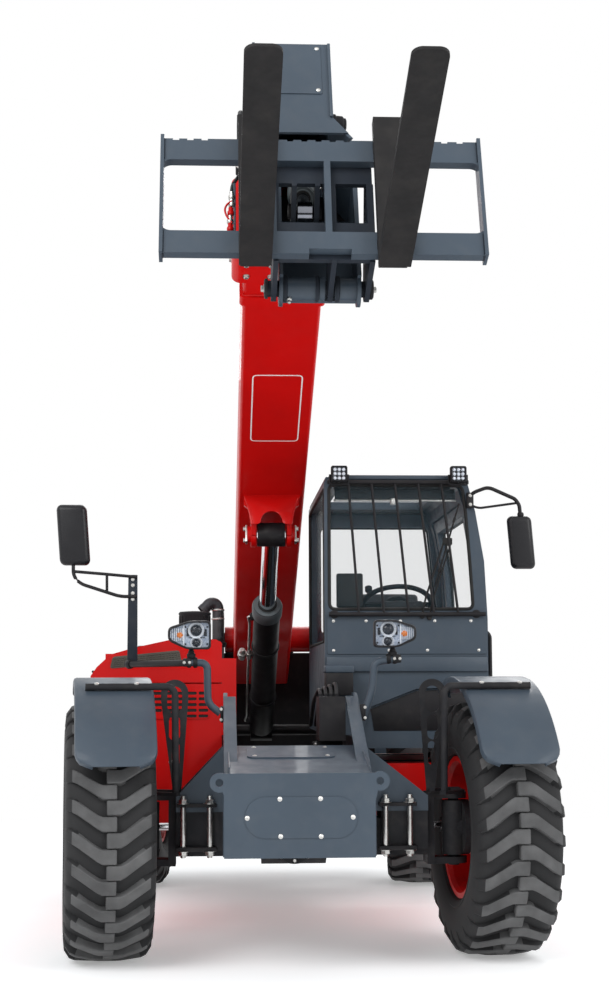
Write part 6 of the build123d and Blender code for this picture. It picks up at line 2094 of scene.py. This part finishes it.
# ---------------------------------------------------------------- engine pod
@dataclass
class Engine:
    """Fittings of the engine pod: grille, mesh, pre-cleaner, exhaust, latches, louvres, bolts and filler
    caps.
    """

    front: float = 0.3
    outer: float = -1.05
    grille_x: Point = (-0.735, -0.435)
    grille_z: Point = (1.085, 1.232)
    rows: int = 5
    columns: int = 5

    def grille(self) -> None:
        """Cuts staggered slots in a raised plate, before a black one."""
        low, high = (self.grille_x[0], self.grille_z[0]), (self.grille_x[1], self.grille_z[1])
        cover = panel(box_corners(low, high), 0.022, 0.006, upright(self.front))
        wide = (high[0] - low[0]) / self.columns
        pitch = (high[1] - low[1]) / self.rows
        cutters = []
        for row in range(self.rows):
            z = low[1] + (row + 0.5) * pitch
            for column in range(self.columns):
                if row == 0 and column == 0:
                    continue
                x = low[0] + (column + 0.5) * wide
                cutters.append(panel(box_corners((x - wide * 0.42, z - pitch * 0.27),
                                                 (x + wide * 0.42, z + pitch * 0.27)), pitch * 0.26, 0.03,
                                     upright(self.front + 0.01)))
        pierce(cover, join(cutters))
        hand_over(cover, "grille_plate", RED)
        hand_over(panel(box_corners((low[0] + 0.004, low[1] + 0.004), (high[0] - 0.004, high[1] - 0.004)),
                        0.02, 0.0012, upright(self.front)), "grille_backing", SEAL)

    def mesh(self) -> None:
        """Lays a black lattice over the upper corner of the hood's front and its outer slope."""
        corners = [(-0.95, 1.346), (-0.578, 1.379), (-0.592, 1.44), (-0.936, 1.407)]
        surround = panel(corners, 0.014, 0.004, upright(self.front))
        bars = []
        count = 22
        lower, upper = (Vector(corners[0]), Vector(corners[1])), (Vector(corners[3]), Vector(corners[2]))
        for step in range(1, count):
            t = step / count
            foot, top = lower[0].lerp(lower[1], t), upper[0].lerp(upper[1], t)
            bars.append(rod((foot.x, self.front - 0.006, foot.y + 0.006), (top.x, self.front - 0.006,
                                                                           top.y - 0.006), 0.0028, 6))
        for step in range(1, 6):
            t = step / 6
            foot, top = lower[0].lerp(upper[0], t), lower[1].lerp(upper[1], t)
            deep = self.front - 0.006
            bars.append(rod((foot.x, deep, foot.y), (top.x, deep, top.y), 0.0028, 6))
        hand_over([surround, *bars], "hood_mesh", MESH, "hood")

    def cleaner(self) -> None:
        """Stacks the air pre-cleaner: a neck, a bowl with vanes and a cap."""
        centre = (-0.515, 0.6, 1.48)
        bowl = lathe(Section.PRECLEANER, centre, (0, 0, 1), 40)
        vanes = []
        for step in range(20):
            angle = 2 * math.pi * step / 20
            turn = Matrix.Translation(Vector(centre)) @ Matrix.Rotation(angle, 4, "Z")
            vanes.append(place(block((0.0802, -0.0012, 0.09), (0.0856, 0.0012, 0.15)), turn))
        hand_over([bowl, *vanes], "air_precleaner", PLASTIC, "hood")

    def pipes(self) -> None:
        """Bands the exhaust, caps its cut end and rings its foot with a flange."""
        dress("exhaust", HOT_PIPE)
        hand_over([clamp_ring((-0.389, 1.4, z), (0, 0, 1), 0.0325, 0.012) for z in (1.646, 1.698)],
                  "exhaust_bands", ZINC)
        end, out = Vector((-0.472, 1.38, 1.7)), Vector((-0.669, -0.161, -0.726))
        hand_over(lathe(Section.EXHAUST_LIP, end, out, 28), "exhaust_lip", HOT_PIPE)
        hand_over(lathe(Section.EXHAUST_SOOT, end, out, 28), "exhaust_soot", SEAL)
        hand_over(lathe(Section.EXHAUST_FLANGE, (-0.389, 1.4, 1.5), (0, 0, 1), 32), "exhaust_flange", BLACK)

    def latches(self) -> None:
        """Straps the hood down with two rubber latches on its outer side and lifts by a grip."""
        straps, hooks = [], []
        for y in (0.55, 0.95):
            spine = ((-0.002, 1.225), (-0.012, 1.235), (-0.012, 1.285), (0.004, 1.302))
            straps.append(pipe([(self.outer + x, y, z) for x, z in spine], 0.007, 0.006))
            straps.append(
                block((self.outer - 0.016, y - 0.014, 1.235), (self.outer - 0.004, y + 0.014, 1.262), 0.004)
            )
            corners = (self.outer - 0.006, y - 0.02, 1.205), (self.outer + 0.001, y + 0.02, 1.24)
            hooks.append(block(*corners, 0.002))
        hand_over(straps, "hood_latches", SEAL)
        hand_over(hooks, "latch_plates", ZINC)
        hand_over(pipe(Route.HOOD_GRIP, 0.007, 0.012), "hood_grip", PLASTIC, "hood")

    def louvres(self) -> None:
        """Presses rows of cooling louvres in the pod's outer side."""
        blades = []
        for y0 in (0.48, 0.86, 1.24):
            for step in range(6):
                z = 0.86 + step * 0.05
                blade = block((self.outer - 0.01, y0, z), (self.outer + 0.001, y0 + 0.28, z + 0.022), 0.004)
                with editing(blade):
                    pick_points(lambda spot: spot.x < self.outer - 0.004 and spot.z > z + 0.01)
                    bpy.ops.transform.translate(value=(0.009, 0, 0))
                blades.append(blade)
        hand_over(blades, "pod_louvres", RED)

    def fittings(self) -> None:
        """Bolts the pod's front and the lower edge, and caps its fillers."""
        spots = [((-0.633, self.front, 0.865), (0, -1, 0)), ((-0.98, self.front, 0.865), (0, -1, 0)),
                 ((-0.98, self.front, 1.18), (0, -1, 0)), ((-0.42, self.front, 0.7), (0, -1, 0))]
        spots += [((self.outer, y, 0.7), (-1, 0, 0)) for y in (0.4, 0.8, 1.2, 1.5)]
        Fastener(0.009, BoltHead.DOME).mount(spots, "pod_bolts")
        caps = []
        for x, y in ((-0.6, 1.4), (-0.82, 1.46)):
            low = 1.488 if x > -0.7 else 1.455
            caps.append(lathe(Section.FILLER_CAP, (x, y, low), (0, 0, 1), 12))
        hand_over(caps, "filler_caps", PLASTIC)

    def build(self) -> None:
        """Builds the pod's fittings."""
        dress("engine_pod", RED)
        dress("engine_hood", RED)
        dress("engine_block", ENGINE_IRON)
        for step in (self.grille, self.mesh, self.cleaner, self.pipes, self.latches, self.louvres,
                     self.fittings):
            step()


@dataclass
class SideTank:
    """Fittings of the tank below the cab: filler, straps and step treads."""

    def build(self) -> None:
        """Builds the filler, the step's treads and the straps."""
        dress("side_tank", RED)
        treads, studs = [], []
        for z in (0.664, 0.858):
            treads.append(block((0.872, 0.77, z - 0.004), (0.955, 1.18, z + 0.012), 0.003))
            studs += [
                ((x, y, z + 0.012), (0, 0, 1))
                for x in (0.895, 0.93) for y in (0.82, 0.88, 0.94, 1.0, 1.06, 1.12)
            ]
        hand_over(treads, "step_treads", BLACK)
        Fastener(0.008, BoltHead.DOME).mount(studs, "step_studs", finish=BLACK)
        hand_over(lathe(Section.TANK_CAP, (0.78, 0.45, 0.852), (0, 0, 1), 12), "tank_cap", PLASTIC)
        straps = [
            join([block((0.345, y - 0.025, 0.4965), (0.953, y + 0.025, 0.5005), 0.001),
                  block((0.9495, y - 0.025, 0.498), (0.9535, y + 0.025, 0.852), 0.001),
                  block((0.345, y - 0.025, 0.8495), (0.953, y + 0.025, 0.8535), 0.001)])
            for y in (0.6, 1.42)
        ]
        hand_over(straps, "tank_straps", BLACK)


# ---------------------------------------------------------------- counterweight and rear
@dataclass
class Tail:
    """Rear lamps, hitch pin, blank plate, bolts and lifting eyes on the counterweight."""

    face: float = 3.566

    def lamps(self) -> None:
        """Sets a three-chamber lamp at each side of the counterweight."""
        cases, ambers, reds = [], [], []
        for side in (-1, 1):
            x = sorted((side * 0.4, side * 0.66))
            case = block((x[0], self.face - 0.003, 0.86), (x[1], self.face + 0.03, 0.95), 0.006)
            with editing(case):
                pick_faces(lambda middle, normal: normal.y > 0.9)
                bpy.ops.mesh.inset(thickness=0.008, depth=-0.012)
            cases.append(case)
            parts = ((0.58, 0.648, ambers), (0.412, 0.575, reds))
            for near, far, group in parts:
                low, high = sorted((side * near, side * far))
                corners = (low, self.face + 0.01, 0.872), (high, self.face + 0.034, 0.938)
                group.append(block(*corners, 0.007, 3))
        hand_over(cases, "tail_lamp_cases", PLASTIC)
        hand_over(ambers, "tail_amber_lenses", AMBER)
        hand_over(reds, "tail_red_lenses", RED_LENS)

    def hitch(self) -> None:
        """Drops the drawbar pin through the jaw, with its loop."""
        pin = lathe(Section.DRAWBAR_PIN, (0, 3.516, 0.535), (0, 0, 1), 28)
        loop = pipe(Route.PIN_LOOP, 0.0045, 0.012)
        hand_over([pin, loop], "drawbar_pin", ZINC)

    def build(self) -> None:
        """Builds the tail's fittings."""
        dress("counterweight", SLATE)
        self.lamps()
        self.hitch()
        hand_over(block((0.15, self.face - 0.002, 0.7), (0.36, self.face + 0.006, 0.8), 0.003),
                  "blank_plate", SLATE_PALE)
        spots = [((x, self.face + 0.001, z), (0, 1, 0)) for x in (-0.56, 0.56) for z in (0.7, 1.06)]
        spots += [((x, self.face + 0.006, 0.75), (0, 1, 0)) for x in (0.165, 0.345)]
        Fastener(0.012).mount(spots, "tail_bolts")
        eyes = []
        for x in (-0.5, 0.5):
            eyes.append(pipe([(x - 0.04, 3.36, 1.115), (x - 0.04, 3.36, 1.16), (x, 3.36, 1.185),
                              (x + 0.04, 3.36, 1.16), (x + 0.04, 3.36, 1.115)], 0.011, 0.02))
        hand_over(eyes, "lifting_eyes", BLACK)


PARTS = (Nose, Axles, Frame, Boom, BoomHead, Carriage, Cylinders, Engine, SideTank, Cab, Cockpit, Lamps,
         Mirrors, Tail)


# ---------------------------------------------------------------- studio
@dataclass
class Studio:
    """Camera, lamps, white surroundings and a pale floor."""

    lens: float = 60.45
    sensor: float = 36.0
    stand: Point = (-0.4069, -8.4963, 1.2515)
    yaw: float = 0.05351
    pitch: float = 0.11041
    roll: float = -0.0038
    floor_size: float = 60.0
    fade_from: Point = (3.5, 8.0)
    lamps: Sequence[tuple[str, Point, Point, float, float]] = (
        ("key", (-6, -9, 9), (0, 0, 1.5), 7, 900), ("fill", (8, -7, 6), (0, 0, 1.5), 7, 550),
        ("back", (2, 10, 8), (0, 1, 1.5), 7, 700)
    )

    def camera(self) -> None:
        """Stands the camera in front of the machine, below the cab's windows, looking slightly up."""
        bpy.ops.object.camera_add(location=self.stand)
        camera = bpy.context.object
        camera.data.lens = self.lens
        camera.data.sensor_width = self.sensor
        camera.data.sensor_fit = "AUTO"
        camera.data.clip_end = 200
        camera.rotation_mode = "QUATERNION"
        heading = Matrix.Rotation(-self.yaw, 4, "Z") @ Matrix.Rotation(math.pi / 2 + self.pitch, 4, "X")
        camera.rotation_quaternion = (heading @ Matrix.Rotation(self.roll, 4, "Z")).to_quaternion()
        bpy.context.scene.camera = camera

    def lamp(self, name: str, place_at: Point, aim: Point, size: float, power: float) -> None:
        """Adds one soft square lamp."""
        bpy.ops.object.light_add(type="AREA", location=place_at)
        lamp = bpy.context.object
        lamp.name = name
        lamp.data.size = size
        lamp.data.energy = power
        lamp.rotation_mode = "QUATERNION"
        lamp.rotation_quaternion = (Vector(aim) - Vector(place_at)).to_track_quat("-Z", "Y")

    def white_when_seen(self, tree: Tree, lit: Socket, target: Socket) -> None:
        """Mixes a plain white glow over a shader for rays from the camera, mirrors and glass."""
        rays = tree.nodes.new("ShaderNodeLightPath")
        share = rays.outputs["Is Camera Ray"]
        for other in ("Is Glossy Ray", "Is Transmission Ray"):
            most = tree.nodes.new("ShaderNodeMath")
            most.operation = "MAXIMUM"
            tree.links.new(share, most.inputs[0])
            tree.links.new(rays.outputs[other], most.inputs[1])
            share = most.outputs[0]
        white = tree.nodes.new("ShaderNodeBackground")
        white.inputs["Color"].default_value = (1, 1, 1, 1)
        mix = tree.nodes.new("ShaderNodeMixShader")
        tree.links.new(share, mix.inputs["Fac"])
        tree.links.new(lit, mix.inputs[1])
        tree.links.new(white.outputs[0], mix.inputs[2])
        tree.links.new(mix.outputs[0], target)

    def surroundings(self) -> None:
        """Sets a soft grey-white world that looks white."""
        world = bpy.data.worlds.new("studio")
        bpy.context.scene.world = world
        world.use_nodes = True
        tree = world.node_tree
        lit = tree.nodes["Background"]
        lit.inputs["Color"].default_value = (0.92, 0.96, 1.0, 1)
        lit.inputs["Strength"].default_value = 0.55
        self.white_when_seen(tree, lit.outputs[0], tree.nodes["World Output"].inputs["Surface"])

    def floor(self) -> None:
        """Lays a pale floor below the machine that keeps its shadow."""
        bpy.ops.mesh.primitive_plane_add(size=self.floor_size, location=(0, 0, -0.002))
        floor = bpy.context.object
        floor.name = "studio_floor"
        paint = bpy.data.materials.new("Pale floor")
        paint.use_nodes = True
        shader = paint.node_tree.nodes["Principled BSDF"]
        shader.inputs["Base Color"].default_value = (0.9, 0.9, 0.9, 1)
        shader.inputs["Roughness"].default_value = 0.9
        shader.inputs["Emission Color"].default_value = (1, 1, 1, 1)
        shader.inputs["Emission Strength"].default_value = 0.3
        self.fade(paint.node_tree)
        floor.data.materials.append(paint)

    def fade(self, tree: Tree) -> None:
        """Fades the floor to the surroundings' white with distance, so that only its shadow shows."""
        shader, output = tree.nodes["Principled BSDF"], tree.nodes["Material Output"]
        reach = tree.nodes.new("ShaderNodeVectorMath")
        reach.operation = "LENGTH"
        tree.links.new(tree.nodes.new("ShaderNodeTexCoord").outputs["Object"], reach.inputs[0])
        share = ramp(tree, reach.outputs["Value"], *self.fade_from)
        white = tree.nodes.new("ShaderNodeEmission")
        white.inputs["Color"].default_value = (1, 1, 1, 1)
        mix = tree.nodes.new("ShaderNodeMixShader")
        tree.links.new(share, mix.inputs["Fac"])
        tree.links.new(shader.outputs[0], mix.inputs[1])
        tree.links.new(white.outputs[0], mix.inputs[2])
        tree.links.new(mix.outputs[0], output.inputs["Surface"])

    def build(self) -> None:
        """Sets up the whole studio."""
        self.camera()
        self.surroundings()
        self.floor()
        for lamp in self.lamps:
            self.lamp(*lamp)
        bpy.context.scene.view_settings.view_transform = "Standard"


def main() -> None:
    """Builds each sub-assembly in order, then the studio."""
    logging.basicConfig(level=logging.INFO, format="%(name)s: %(message)s")
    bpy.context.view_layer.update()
    Studio().build()
    for corner in CORNERS:
        Wheel(corner).build()
        Fender(corner).build()
    for part in PARTS:
        part().build()


if __name__ == "__main__":
    main()
